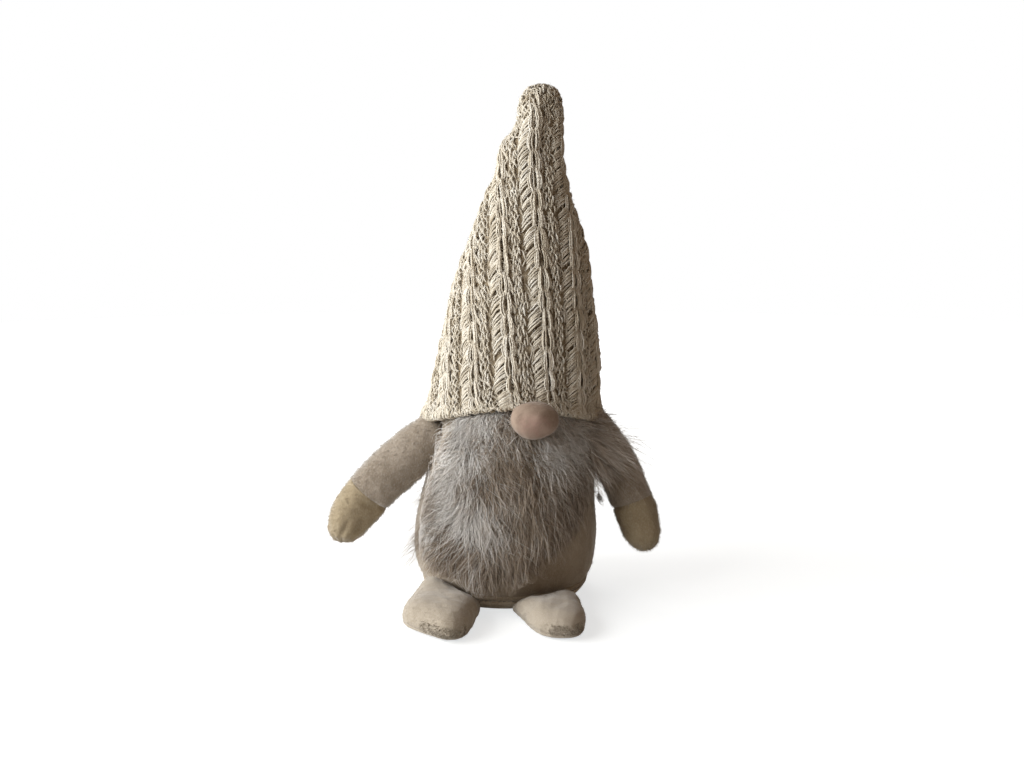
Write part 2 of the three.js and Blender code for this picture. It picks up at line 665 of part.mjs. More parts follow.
// Hat and nose
add("knit_hat", cut(hatCloth(), [noseClear, bodyClear]), materials.knit);
add("hat_filling", hatFilling(bodyClear), materials.filling);
const noseHollow = noseSolid(-NOSE_CLOTH);
add("nose_cover", cut(noseSolid(0), [noseHollow, bodyClear]), materials.nose);
add("nose_filling", noseFilling(), materials.filling);
add("nose_thread", noseThread(), materials.thread);

// Beard: the band under the nose stays, the rest lifts
const bend = bendWedge();
const band = beardSheet(BEARD_BEND_HEIGHT, BEARD_TOP, BEARD_BAND_ROWS);
add("beard_band", cut(band, [bend, noseClear, hatSolid(GAP), bodyClear]), materials.fur);
const beard = cut(beardSheet(BEARD_BOTTOM, BEARD_BEND_HEIGHT, BEARD_ROWS), [bend, bodySolid(SWING_GAP)]);
add("beard", beard, materials.fur);

// Arms
const armObstacles = [bodySolid(SWING_GAP), hatSolid(SWING_GAP)];
for (const [side, place] of Object.entries(ARMS)) {
  const pieces = armPieces(place);
  const axis = new THREE.Vector3(0, side === "left" ? 1 : -1, 0);
  const swept = sweep(armObstacles, new THREE.Vector3(...place.root), axis, -place.down, place.up);
  add(`${side}_sleeve`, cut(pieces.sleeve, swept), materials.plush);
  add(`${side}_mitten`, cut(pieces.mitten, swept), materials.cream);
  add(`${side}_arm_filling`, cut(pieces.filling, swept), materials.filling);
}

// Feet, sewn to the front of the base
const beardClear = beard.add(beard.translate([0, -SWING_GAP, -SWING_GAP]));
const footObstacles = [bodySolid(SWING_GAP), baseClearance(SWING_GAP), beardClear];
for (const [side, { round, turn, reach }] of Object.entries(FEET)) {
  const pieces = footPieces();
  const around = degToRad(round);
  const half = SEAM_WIDTH / 2;
  const sewnDepth = -half * bodyShare * Math.cos(around);
  const sewn = new THREE.Vector3(half * Math.sin(around), sewnDepth, FOOT_SEAM_HEIGHT);
  const turning = new THREE.Matrix4().makeRotationZ(degToRad(turn));
  const middle = new THREE.Vector3(0, -reach, 0).applyMatrix4(turning).add(sewn).setZ(0);
  const placing = new THREE.Matrix4().makeTranslation(middle).multiply(turning);
  const axis = new THREE.Vector3(-1, 0, 0).applyMatrix4(turning);
  const swept = sweep(footObstacles, sewn, axis, 0, FOOT_LIFT);
  const placed = (piece) => cut(piece.transform([...placing.elements]), swept);
  add(`${side}_foot_top`, placed(pieces.top), materials.cream);
  add(`${side}_foot_sole`, placed(pieces.sole), materials.cream);
  add(`${side}_foot_filling`, placed(pieces.filling), materials.filling);
}

export default gnome;
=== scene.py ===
"""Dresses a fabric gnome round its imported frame: plush body, knitted hat, fur beard, nose, arms and feet.

Lengths in this file are millimetres unless a name says metres. The gnome faces -Y, and left is -X.
"""

import logging
import math
from collections.abc import Callable, Sequence
from dataclasses import dataclass, field
from enum import Enum

import bmesh
import bpy
import numpy as np
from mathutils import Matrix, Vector


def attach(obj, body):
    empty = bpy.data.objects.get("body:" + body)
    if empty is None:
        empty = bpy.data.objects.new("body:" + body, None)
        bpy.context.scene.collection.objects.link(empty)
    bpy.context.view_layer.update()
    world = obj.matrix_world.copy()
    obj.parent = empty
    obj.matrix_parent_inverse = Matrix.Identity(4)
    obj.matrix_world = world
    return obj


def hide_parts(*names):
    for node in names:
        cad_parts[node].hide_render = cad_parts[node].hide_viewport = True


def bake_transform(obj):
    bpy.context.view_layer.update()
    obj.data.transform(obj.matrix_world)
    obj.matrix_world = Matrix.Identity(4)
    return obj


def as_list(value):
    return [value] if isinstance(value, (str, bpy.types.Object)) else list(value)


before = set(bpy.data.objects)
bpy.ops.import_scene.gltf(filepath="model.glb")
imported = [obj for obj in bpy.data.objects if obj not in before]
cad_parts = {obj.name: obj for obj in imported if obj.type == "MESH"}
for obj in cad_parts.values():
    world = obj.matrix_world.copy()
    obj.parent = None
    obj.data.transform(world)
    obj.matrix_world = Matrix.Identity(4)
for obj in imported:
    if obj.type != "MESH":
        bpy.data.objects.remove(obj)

LOG = logging.getLogger("gnome")
MM = 0.001
METRE = 1000.0
TAU = math.tau
Array = np.ndarray
Colour = tuple[float, float, float]
Place = tuple[float, float, float]
Lay = Callable[[Array, Array], tuple[Array, Array]]


# --- Plain calculations ---


def smoothstep(value: Array | float, low: float, high: float) -> Array:
    """A smooth step from 0 at low to 1 at high."""
    share = np.clip((np.asarray(value, float) - low) / (high - low), 0, 1)
    return share * share * (3 - 2 * share)


def hump(value: Array | float, centre: float, width: float) -> Array:
    """A bell of height 1 round centre."""
    return np.exp(-(((np.asarray(value, float) - centre) / width) ** 2))


def mix(low: Array | float, high: Array | float, share: Array | float) -> Array:
    """The value that lies share of the way from low to high."""
    return low + (high - low) * share


def unit(vectors: Array) -> Array:
    """Vectors scaled to length 1."""
    return vectors / np.maximum(np.linalg.norm(vectors, axis=-1, keepdims=True), 1e-9)


def ripple(points: Array, length: float, seed: int, waves: int = 9) -> Array:
    """Smooth unevenness of about -1 to 1, made of a few crossing waves.

    Args:
        points: Places, with three coordinates in the last axis.
        length: Typical length of a wave.
        seed: Which unevenness.
        waves: How many waves cross.

    Returns:
        One value for each point.
    """
    rng = np.random.default_rng(seed)
    ways = unit(rng.normal(size=(waves, 3))) * TAU / (length * rng.uniform(0.7, 1.5, (waves, 1)))
    return np.sin(points @ ways.T + rng.uniform(0, TAU, waves)).sum(-1) / math.sqrt(waves)


def smooth_line(stations: Sequence[tuple[float, ...]], steps: int = 16) -> Array:
    """Points on a smooth curve through the stations.

    Args:
        stations: Points of the curve, at least two.
        steps: Points between one station and the next.

    Returns:
        The points of the curve, the stations among them.
    """
    known = np.asarray(stations, float)
    padded = np.vstack([known[:1], known, known[-1:]])
    share = np.linspace(0, 1, steps, endpoint=False)[:, None]
    parts = []
    for before, start, end, after in zip(padded, padded[1:], padded[2:], padded[3:]):
        leave, arrive = (end - before) / 2, (after - start) / 2
        bend = 2 * start - 2 * end + leave + arrive
        swing = -3 * start + 3 * end - 2 * leave - arrive
        parts.append(((bend * share + swing) * share + leave) * share + start)
    return np.vstack([*parts, known[-1:]])


# --- Stance and the forms that the pieces lie on ---


@dataclass(frozen=True)
class Stance:
    """How body and hat lean sideways above a height."""

    slope: float = math.tan(math.radians(3.95))
    start: float = 30.0

    def side(self, height: Array | float) -> Array:
        """Sideways place of the leaning centre line."""
        return self.slope * np.maximum(0, np.asarray(height, float) - self.start)


STANCE = Stance()


@dataclass(frozen=True)
class SackForm:
    """The outside of the plush sack: half widths at heights, with an oval section."""

    share: float = 103 / 112  # depth over width
    seam_width: float = 98.0
    base_width: float = 88.0  # at the floor
    seam_height: float = 6.0
    belly_height: float = 34.0
    top: float = 152.0
    stations: tuple[tuple[float, float], ...] = (
        (49, 6.3), (54, 16), (56, 34), (52, 68), (47, 100), (33, 140), (0, 152),
    )

    def line(self) -> Array:
        """The outline as (radius, height) points from the seam to the top."""
        return smooth_line(self.stations)

    def radius(self, height: Array | float) -> Array:
        """Half width at a height."""
        line = self.line()
        return np.interp(height, line[:, 1], line[:, 0])

    def clear(self, points: Array, room: float) -> Array:
        """How far points stand outside the sack and its base, less room. Negative is inside."""
        height = points[..., 2]
        base = mix(self.base_width, self.seam_width, height / self.seam_height) / 2
        radius = np.where(height < self.seam_height, base, self.radius(height))
        across = np.hypot(points[..., 0] - STANCE.side(height), points[..., 1] / self.share)
        return across - radius - room


SACK = SackForm()


@dataclass(frozen=True)
class HatForm:
    """The outside of the hat, and the flat knit that it was sewn from.

    A place on the cloth is an angle round the hat, 0 at the front, and a distance from the tip.
    """

    share: float = 0.94
    hem_height: float = 105.0
    hem_lift: float = 13.0
    lift_reach: float = 36.0
    tip_shift: float = 2.4
    fill_top: float = 258.0
    tip_height: float = 280.0
    height: float = 300.0
    stations: tuple[tuple[float, float], ...] = (  # half width and height
        (13, 280), (18, 258), (29, 220), (40, 184), (46.5, 147), (50.5, 116), (52.75, 105),
    )
    turn: float = math.radians(7.8)  # how far the columns of the knit are turned from the hat's axis

    def line(self) -> Array:
        """The outline from the tip down, as (distance, radius, height) points."""
        angle = np.linspace(0, math.pi / 2, 14, endpoint=False)
        rise = (self.height - 1.8 - self.tip_height) * np.cos(angle) ** 0.86
        cap = np.stack([13 * np.sin(angle) ** 0.86, self.tip_height + rise], 1)
        line = np.vstack([cap, smooth_line(self.stations)])
        steps = np.linalg.norm(np.diff(line, axis=0), axis=1)
        return np.column_stack([np.concatenate([[0], np.cumsum(steps)]), line])

    def length(self) -> float:
        """Distance from the tip to the hem along the cloth."""
        return float(self.line()[-1, 0])

    def radius(self, distance: Array) -> Array:
        """Half width at a distance from the tip."""
        line = self.line()
        return np.interp(distance, line[:, 0], line[:, 1])

    def from_flat(self, across: Array, down: Array) -> tuple[Array, Array]:
        """Where a place in the flat knit lies on the hat.

        Args:
            across: Distance across the columns of the knit.
            down: Distance along the columns.

        Returns:
            The angle round the hat, past half a turn where the back seam cuts the cloth off, and the
            distance from the tip.
        """
        side = across * math.cos(self.turn) + down * math.sin(self.turn)
        below = -across * math.sin(self.turn) + down * math.cos(self.turn)
        distance = np.hypot(side, below)
        return np.arctan2(side, below) * distance / np.maximum(self.radius(distance), 0.5), distance

    def relief(self, angle: Array, height: Array) -> Array:
        """How far the slack tip and the uneven stuffing stand out of the smooth form."""
        slack = smoothstep(height, 236, 262)
        lumps = ripple(np.stack([30 * np.sin(angle), -30 * np.cos(angle), height], -1), 52, 5)
        left = hump(angle, -1.4, 0.8)
        kink = 1.7 * left * hump(height, 262, 6.5) - 1.5 * left * hump(height, 275, 9)
        round_off = 1 - smoothstep(height, 280, 292)
        ridge = 1.2 * hump(angle, -0.25, 0.28) * smoothstep(height, 244, 262)
        ridge = ridge * (1 - smoothstep(height, 284, 294))
        valley = -2.2 * hump(angle, 0.42, 0.3) * smoothstep(height, 240, 262) * round_off
        back = -1.6 * hump(np.abs(angle), 2.5, 0.35) * slack * round_off
        calm = 1 - smoothstep(height, 276, 292)
        flare = (1.2 - 0.8 * np.sin(angle)) * (1 - smoothstep(height, self.hem_height, 121)) ** 1.5
        flare = flare * (0.35 + 0.65 * np.sin(angle) ** 2)
        return 0.7 * lumps * calm + kink + ridge + valley + back + flare

    def place(self, angle: Array, distance: Array, out: Array | float) -> Array:
        """Points on the hat.

        Args:
            angle: Angle round the hat, 0 at the front and positive to the right.
            distance: Distance from the tip along the cloth.
            out: How far the point stands off the smooth form.

        Returns:
            The points.
        """
        line = self.line()

        def outline(at: Array) -> Array:
            """The radius and height at distances from the tip."""
            return np.stack([np.interp(at, line[:, 0], line[:, column]) for column in (1, 2)], -1)

        step = unit(outline(distance + 1) - outline(distance - 1))
        radius, height = np.moveaxis(outline(distance), -1, 0)
        lift = out + self.relief(angle, height)
        radius = np.maximum(radius - step[..., 1] * lift, 0)
        height = height + step[..., 0] * lift
        x, y = radius * np.sin(angle), -radius * self.share * np.cos(angle)
        fade = np.clip(1 - (height - self.hem_height) / self.lift_reach, 0, 1)
        front = np.maximum(0, -y / (np.hypot(x, y) + 1e-9))
        height = height + self.hem_lift * fade**2 * front**2
        x = x + self.tip_shift * smoothstep(height, self.fill_top, self.tip_height) + STANCE.side(height)
        return np.stack([x, y, height], -1)


HAT = HatForm()


# --- Meshes ---


def points_of(mesh: bpy.types.Mesh) -> Array:
    """A mesh's points, in millimetres."""
    flat = np.empty(len(mesh.vertices) * 3, np.float32)
    mesh.vertices.foreach_get("co", flat)
    return flat.reshape(-1, 3).astype(float) * METRE


def set_points(mesh: bpy.types.Mesh, points: Array) -> None:
    """Moves a mesh's points, given in millimetres."""
    mesh.vertices.foreach_set("co", (points * MM).astype(np.float32).ravel())
    mesh.update()


def normals_of(mesh: bpy.types.Mesh) -> Array:
    """The outward direction at each point of a mesh."""
    flat = np.empty(len(mesh.vertices) * 3, np.float32)
    mesh.vertices.foreach_get("normal", flat)
    return flat.reshape(-1, 3).astype(float)


def object_from(name: str, bm: bmesh.types.BMesh) -> bpy.types.Object:
    """An object with the mesh that was built, smooth shaded.

    Args:
        name: Name of the piece.
        bm: The mesh, which is freed.

    Returns:
        The object, linked to the scene.
    """
    mesh = bpy.data.meshes.new(name)
    bm.to_mesh(mesh)
    bm.free()
    mesh.polygons.foreach_set("use_smooth", [True] * len(mesh.polygons))
    made = bpy.data.objects.new(name, mesh)
    bpy.context.scene.collection.objects.link(made)
    return made


def reshape(made: bpy.types.Object, move: Callable[[Array], Array]) -> bpy.types.Object:
    """Moves the points of an object's mesh by a function of their places."""
    set_points(made.data, move(points_of(made.data)))
    return made


def turned(name: str, line: Array, sides: int, share: float) -> bpy.types.Object:
    """A form turned about the vertical, made oval and leaning.

    Args:
        name: Name of the piece.
        line: Its outline as (radius, height) points, from axis to axis.
        sides: Steps round the form.
        share: Depth over width.

    Returns:
        The object.
    """
    bm = bmesh.new()
    rim = [bm.verts.new((radius * MM, 0, height * MM)) for radius, height in line]
    edges = [bm.edges.new(pair) for pair in zip(rim, rim[1:])]
    bmesh.ops.spin(
        bm, geom=rim + edges, cent=(0, 0, 0), axis=(0, 0, 1), angle=TAU, steps=sides, use_merge=True
    )
    bmesh.ops.remove_doubles(bm, verts=bm.verts, dist=1e-6)
    bmesh.ops.recalc_face_normals(bm, faces=bm.faces)

    def lean(points: Array) -> Array:
        """Makes the section oval and leans the form."""
        return np.stack([points[:, 0] + STANCE.side(points[:, 2]), points[:, 1] * share, points[:, 2]], 1)

    return reshape(object_from(name, bm), lean)


def apply_modifiers(made: bpy.types.Object) -> None:
    """Replaces an object's mesh by what its modifiers make of it."""
    evaluated = made.evaluated_get(bpy.context.evaluated_depsgraph_get())
    mesh = bpy.data.meshes.new_from_object(evaluated)
    made.modifiers.clear()
    made.data = mesh
    mesh.name = made.name
    mesh.polygons.foreach_set("use_smooth", [True] * len(mesh.polygons))


def remesh(made: bpy.types.Object, voxel: float) -> None:
    """Gives an object a mesh of even cells."""
    modifier = made.modifiers.new("Cells", "REMESH")
    modifier.mode = "VOXEL"
    modifier.voxel_size = voxel * MM
    apply_modifiers(made)


def soften(made: bpy.types.Object, times: int) -> None:
    """Smooths the points of an object's mesh."""
    bm = bmesh.new()
    bm.from_mesh(made.data)
    axes = {"use_axis_x": True, "use_axis_y": True, "use_axis_z": True}
    for _ in range(times):
        bmesh.ops.smooth_vert(bm, verts=bm.verts, factor=0.5, **axes)
    bm.to_mesh(made.data)
    bm.free()
    made.data.polygons.foreach_set("use_smooth", [True] * len(made.data.polygons))


def subdivide(made: bpy.types.Object, levels: int) -> None:
    """Subdivides an object's mesh smoothly."""
    modifier = made.modifiers.new("Smooth", "SUBSURF")
    modifier.levels = modifier.render_levels = levels
    apply_modifiers(made)


def grid_form(
    name: str, columns: int, rows: int, place: Callable[[Array, Array], Array], wall: float, weld: bool
) -> bpy.types.Object:
    """A sheet of cloth with a thickness, from a grid that a function lays out.

    Args:
        name: Name of the piece.
        columns: Cells across.
        rows: Cells along.
        place: Gives a point for two shares from 0 to 1.
        wall: Thickness, added inwards.
        weld: Whether the two sides meet.

    Returns:
        The object.
    """
    bm = bmesh.new()
    bmesh.ops.create_grid(bm, x_segments=columns, y_segments=rows, size=0.5)
    made = object_from(name, bm)
    shares = points_of(made.data) / METRE + 0.5
    set_points(made.data, place(shares[:, 0], shares[:, 1]))
    bm = bmesh.new()
    bm.from_mesh(made.data)
    if weld:
        bmesh.ops.remove_doubles(bm, verts=bm.verts, dist=2e-6)
    bmesh.ops.recalc_face_normals(bm, faces=bm.faces)
    # The upright axis is on the inner side of every sheet.
    if sum(face.normal.xy.dot(face.calc_center_median().xy) for face in bm.faces) < 0:
        bmesh.ops.reverse_faces(bm, faces=bm.faces)
    bm.to_mesh(made.data)
    bm.free()
    modifier = made.modifiers.new("Wall", "SOLIDIFY")
    modifier.thickness = wall * MM
    modifier.offset = -1
    apply_modifiers(made)
    return made


@dataclass
class Strands:
    """Thin closed strands of yarn or hair, drawn as curves and joined into one mesh."""

    name: str
    sides: int = 3
    batches: list[tuple[Array, Array, Array]] = field(default_factory=list)

    def add(self, paths: Array, radii: Array | float, tones: Array | float) -> None:
        """Takes strands that have the same number of points.

        Args:
            paths: Places, as (strand, point, 3).
            radii: Half thickness at each point.
            tones: How pale each strand is, from 0 to 1.
        """
        count, length = paths.shape[:2]
        self.batches.append((paths, np.broadcast_to(radii, (count, length)), np.broadcast_to(tones, count)))

    def section(self) -> bpy.types.Object:
        """The outline that is swept along each strand."""
        outline = bpy.data.curves.new("section", "CURVE")
        outline.dimensions = "2D"
        spline = outline.splines.new("POLY")
        spline.points.add(self.sides - 1)
        for index, point in enumerate(spline.points):
            angle = TAU * index / self.sides
            point.co = (math.cos(angle) * MM, math.sin(angle) * MM, 0, 1)
        spline.use_cyclic_u = True
        made = bpy.data.objects.new("section", outline)
        bpy.context.scene.collection.objects.link(made)
        return made

    def sweep(self, paths: Array, radii: Array, tones: Array, section: bpy.types.Object) -> bpy.types.Mesh:
        """The mesh of one batch, with each point's tone and its share of the way along its strand."""
        count, length = paths.shape[:2]
        curve = bpy.data.curves.new(self.name, "CURVE")
        curve.dimensions = "3D"
        curve.twist_mode = "MINIMUM"
        curve.bevel_mode = "OBJECT"
        curve.bevel_object = section
        curve.use_fill_caps = True
        places = np.ones((count, length, 4), np.float32)
        places[..., :3] = paths * MM
        for path, thick in zip(places, np.ascontiguousarray(radii, np.float32)):
            spline = curve.splines.new("POLY")
            spline.points.add(length - 1)
            spline.points.foreach_set("co", path.ravel())
            spline.points.foreach_set("radius", thick)
        drawn = bpy.data.objects.new(self.name, curve)
        bpy.context.scene.collection.objects.link(drawn)
        depsgraph = bpy.context.evaluated_depsgraph_get()
        mesh = bpy.data.meshes.new_from_object(drawn.evaluated_get(depsgraph))
        bpy.data.objects.remove(drawn)
        bpy.data.curves.remove(curve)
        # The swept mesh lists all end caps first, last strand first, and then the strands in order.
        ends = np.tile(np.repeat([1.0, 0.0], self.sides), count)
        along = np.concatenate([ends, np.tile(np.repeat(np.linspace(0, 1, length), self.sides), count)])
        tone = np.concatenate([np.repeat(tones[::-1], 2 * self.sides), np.repeat(tones, length * self.sides)])
        for name, values in (("along", along), ("tone", tone)):
            mesh.attributes.new(name, "FLOAT", "POINT").data.foreach_set("value", values.astype(np.float32))
        return mesh

    def build(self) -> bpy.types.Object:
        """The object with all strands."""
        section = self.section()
        bm = bmesh.new()
        for batch in self.batches:
            mesh = self.sweep(*batch, section)
            bm.from_mesh(mesh)
            bpy.data.meshes.remove(mesh)
        bmesh.ops.remove_doubles(bm, verts=bm.verts, dist=1e-6)
        if bm.calc_volume(signed=True) < 0:
            bmesh.ops.reverse_faces(bm, faces=bm.faces)
        outline = section.data
        bpy.data.objects.remove(section)
        bpy.data.curves.remove(outline)
        return object_from(self.name, bm)


@dataclass(frozen=True)
class Crease:
    """A furrow in stuffed cloth between two places."""

    start: Place
    end: Place
    width: float
    depth: float

    def sink(self, points: Array) -> Array:
        """How deep the furrow is at each point."""
        start, end = np.array(self.start), np.array(self.end)
        share = np.clip((points - start) @ (end - start) / ((end - start) @ (end - start)), 0, 1)
        # The furrow reaches further in from the front than across.
        away = np.linalg.norm((points - (start + share[:, None] * (end - start))) * (1, 0.3, 1), axis=1)
        fade = 0.35 + 0.65 * np.sin(math.pi * np.clip(share, 0.02, 0.98))
        return self.depth * fade * np.exp(-((away / self.width) ** 2))


@dataclass
class Padding:
    """Stuffed pieces that swell together in one cloth simulation."""

    frames: int = 20
    pressure: float = 4.0
    quality: int = 6
    mass: float = 0.15
    pieces: list[tuple[bpy.types.Object, float, Array]] = field(default_factory=list)

    def take(self, made: bpy.types.Object, voxel: float, cap: float, held: Callable[[Array], Array]) -> None:
        """Gets a piece ready.

        Args:
            made: The piece, a little smaller than it ends.
            voxel: Size of its cells.
            cap: How far a point may move.
            held: Gives 1 where the cloth is sewn down and 0 where it is free.
        """
        remesh(made, voxel)
        self.pieces.append((made, cap, held(points_of(made.data))))

    def swell(self) -> None:
        """Runs the simulation once for all pieces and keeps its result."""
        for made, _, held in self.pieces:
            group = made.vertex_groups.new(name="sewn")
            for index in np.flatnonzero(held > 0.01):
                group.add([int(index)], float(held[index]), "REPLACE")
            modifier = made.modifiers.new("Cloth", "CLOTH")
            modifier.settings.use_pressure = True
            modifier.settings.uniform_pressure_force = self.pressure
            modifier.settings.effector_weights.gravity = 0
            modifier.settings.quality = self.quality
            modifier.settings.mass = self.mass
            modifier.settings.vertex_group_mass = "sewn"
            modifier.point_cache.frame_start = 1
            modifier.point_cache.frame_end = self.frames
        for step in range(1, self.frames + 1):
            bpy.context.scene.frame_set(step)
        depsgraph = bpy.context.evaluated_depsgraph_get()
        swollen = []
        for made, cap, _ in self.pieces:
            before = points_of(made.data)
            move = points_of(made.evaluated_get(depsgraph).data) - before
            far = np.linalg.norm(move, axis=1, keepdims=True)
            swollen.append(before + move * np.minimum(1, cap / np.maximum(far, 1e-6)))
        for (made, _, _), points in zip(self.pieces, swollen):
            made.modifiers.clear()
            made.vertex_groups.clear()
            set_points(made.data, points)
            soften(made, 2)
        bpy.context.scene.frame_set(1)


def split(made: bpy.types.Object, name: str, point: Array, normal: Array, gap: float) -> bpy.types.Object:
    """Cuts a closed piece in two closed pieces by a plane.

    Args:
        made: The piece, which keeps the part behind the plane.
        name: Name of the part in front of it.
        point: A point of the plane.
        normal: The way that the plane faces.
        gap: Room left between the two parts.

    Returns:
        The part in front.
    """
    whole = made.data.copy()
    parts = []
    for sign in (-1, 1):
        bm = bmesh.new()
        bm.from_mesh(whole)
        place = (point + normal * gap * sign / 2) * MM
        geometry = bm.verts[:] + bm.edges[:] + bm.faces[:]
        cut = bmesh.ops.bisect_plane(
            bm, geom=geometry, dist=1e-7, plane_co=place, plane_no=normal,
            clear_outer=sign < 0, clear_inner=sign > 0,
        )
        rim = [edge for edge in cut["geom_cut"] if isinstance(edge, bmesh.types.BMEdge)]
        bmesh.ops.holes_fill(bm, edges=rim)
        bmesh.ops.triangulate(bm, faces=[face for face in bm.faces if len(face.verts) > 4])
        parts.append(bm)
    parts[0].to_mesh(made.data)
    parts[0].free()
    return object_from(name, parts[1])


@dataclass(frozen=True)
class Pile:
    """Measures of a coat of short hairs."""

    count: int
    length: float
    half: float  # half thickness at the root
    seed: int
    unruly: float = 0.28
    tones: tuple[float, float] = (0.0, 1.0)


def pile(name: str, made: bpy.types.Object, kind: Pile, lay: Lay) -> bpy.types.Object:
    """Short hairs that stand on a piece.

    Args:
        name: Name of the hairs.
        made: The piece that they stand on.
        kind: Their measures.
        lay: Gives, for places and outward ways, the way that the hairs lie and their share of the
            length.

    Returns:
        The object with the hairs.
    """
    rng = np.random.default_rng(kind.seed)
    count = kind.count
    mesh = made.data
    mesh.calc_loop_triangles()
    corners = np.empty(len(mesh.loop_triangles) * 3, np.int32)
    mesh.loop_triangles.foreach_get("vertices", corners)
    corners = corners.reshape(-1, 3)
    points, outward = points_of(mesh), normals_of(mesh)
    a, b, c = (points[corners[:, i]] for i in range(3))
    area = np.linalg.norm(np.cross(b - a, c - a), axis=1)
    chosen = rng.choice(len(corners), count, p=area / area.sum())
    weight = rng.dirichlet((1, 1, 1), count)[..., None]
    root = (points[corners[chosen]] * weight).sum(1)
    normal = unit((outward[corners[chosen]] * weight).sum(1))
    way, share = lay(root, normal)
    kept = share > 0.05
    root, normal, way, share = root[kept], normal[kept], way[kept], share[kept]
    way = unit(way + rng.normal(0, kind.unruly, way.shape))
    long = (kind.length * share * rng.uniform(0.6, 1.3, len(root)))[:, None]
    middle = root + unit(normal * 0.9 + way * 0.6) * long * 0.5
    tip = middle + unit(normal * 0.35 + way) * long * 0.5
    hairs = Strands(name)
    radii = kind.half * np.array([1, 0.8, 0.3])
    hairs.add(np.stack([root - normal * 0.15, middle, tip], 1), radii, rng.uniform(*kind.tones, len(root)))
    return hairs.build()


# --- Finishes ---


Socket = bpy.types.NodeSocket


class Board:
    """A node tree that is being filled."""

    def __init__(self, tree: bpy.types.NodeTree) -> None:
        """Starts on an empty tree."""
        self.tree = tree

    def add(self, kind: str, settings: dict[str, object] | None = None, **inputs: object) -> bpy.types.Node:
        """Adds a node.

        Args:
            kind: The node's type, without the words that all shader nodes start with.
            settings: Values of its own properties.
            **inputs: Values or sockets for its inputs, by name with _ for a space, or by i and a
                number.

        Returns:
            The node.
        """
        prefix = "" if kind.startswith("Node") else "ShaderNode"
        node = self.tree.nodes.new(prefix + kind)
        for key, value in (settings or {}).items():
            setattr(node, key, value)
        for key, value in inputs.items():
            number = key[1:]
            socket = node.inputs[int(number)] if number.isdigit() else node.inputs[key.replace("_", " ")]
            if isinstance(value, bpy.types.NodeSocket):
                self.tree.links.new(value, socket)
            elif isinstance(value, tuple) and len(value) == 3 and socket.type == "RGBA":
                socket.default_value = (*value, 1)
            else:
                socket.default_value = value
        return node

    def maths(self, operation: str, first: object, second: object = 0.0, clamp: bool = False) -> Socket:
        """The result of a calculation on two values."""
        settings = {"operation": operation, "use_clamp": clamp}
        return self.add("Math", settings, i0=first, i1=second).outputs[0]

    def blend(self, share: object, first: object, second: object, kind: str = "MIX") -> Socket:
        """A mix of two colours."""
        node = self.add("Mix", {"data_type": "RGBA", "blend_type": kind}, i0=share, i6=first, i7=second)
        return node.outputs[2]

    def place(self) -> Socket:
        """The place on the object."""
        return self.add("TexCoord").outputs["Object"]

    def noise(self, place: object, scale: object, detail: float = 2.0, rough: float = 0.5) -> Socket:
        """Noise at a place."""
        node = self.add("TexNoise", None, Vector=place, Scale=scale, Detail=detail, Roughness=rough)
        return node.outputs["Fac"]

    def spread(
        self, value: object, low: float, high: float, to_low: float = 0.0, to_high: float = 1.0
    ) -> Socket:
        """A value stretched from one range to another."""
        return self.add("MapRange", None, i0=value, i1=low, i2=high, i3=to_low, i4=to_high).outputs[0]


def node_group(
    name: str, inputs: dict[str, str], outputs: dict[str, str]
) -> tuple[bpy.types.NodeTree, Board, bpy.types.Node]:
    """An empty shader node group.

    Args:
        name: Name of the group.
        inputs: Socket type of each input, without the words that all start with.
        outputs: Socket type of each output.

    Returns:
        The group, a board on it, and its input node.
    """
    tree = bpy.data.node_groups.new(name, "ShaderNodeTree")
    for key, kind in inputs.items():
        tree.interface.new_socket(key, in_out="INPUT", socket_type="NodeSocket" + kind)
    for key, kind in outputs.items():
        tree.interface.new_socket(key, in_out="OUTPUT", socket_type="NodeSocket" + kind)
    board = Board(tree)
    return tree, board, board.add("NodeGroupInput")


def nap_group() -> bpy.types.NodeTree:
    """Short nap: cloudy patches where it lies another way, and fine fibres."""
    inputs = {"Colour": "Color", "Shade": "Color", "Pale": "Color", "Patch": "Float", "Fibre": "Float"}
    tree, board, given = node_group("short_nap", inputs, {"Colour": "Color", "Height": "Float"})
    place = board.place()
    patch = board.noise(place, given.outputs["Patch"], 3.0)
    long = board.add("Mapping", None, Vector=place, Scale=(1, 1, 0.45)).outputs["Vector"]
    fibre = board.noise(long, given.outputs["Fibre"], 3.0, 0.7)
    cloud = board.blend(board.spread(patch, 0.38, 0.66), given.outputs["Shade"], given.outputs["Colour"])
    speck = board.blend(board.spread(fibre, 0.46, 0.74), cloud, given.outputs["Pale"])
    ends = board.add("NodeGroupOutput")
    tree.links.new(speck, ends.inputs["Colour"])
    tree.links.new(board.maths("ADD", fibre, board.maths("MULTIPLY", patch, 0.5)), ends.inputs["Height"])
    return tree


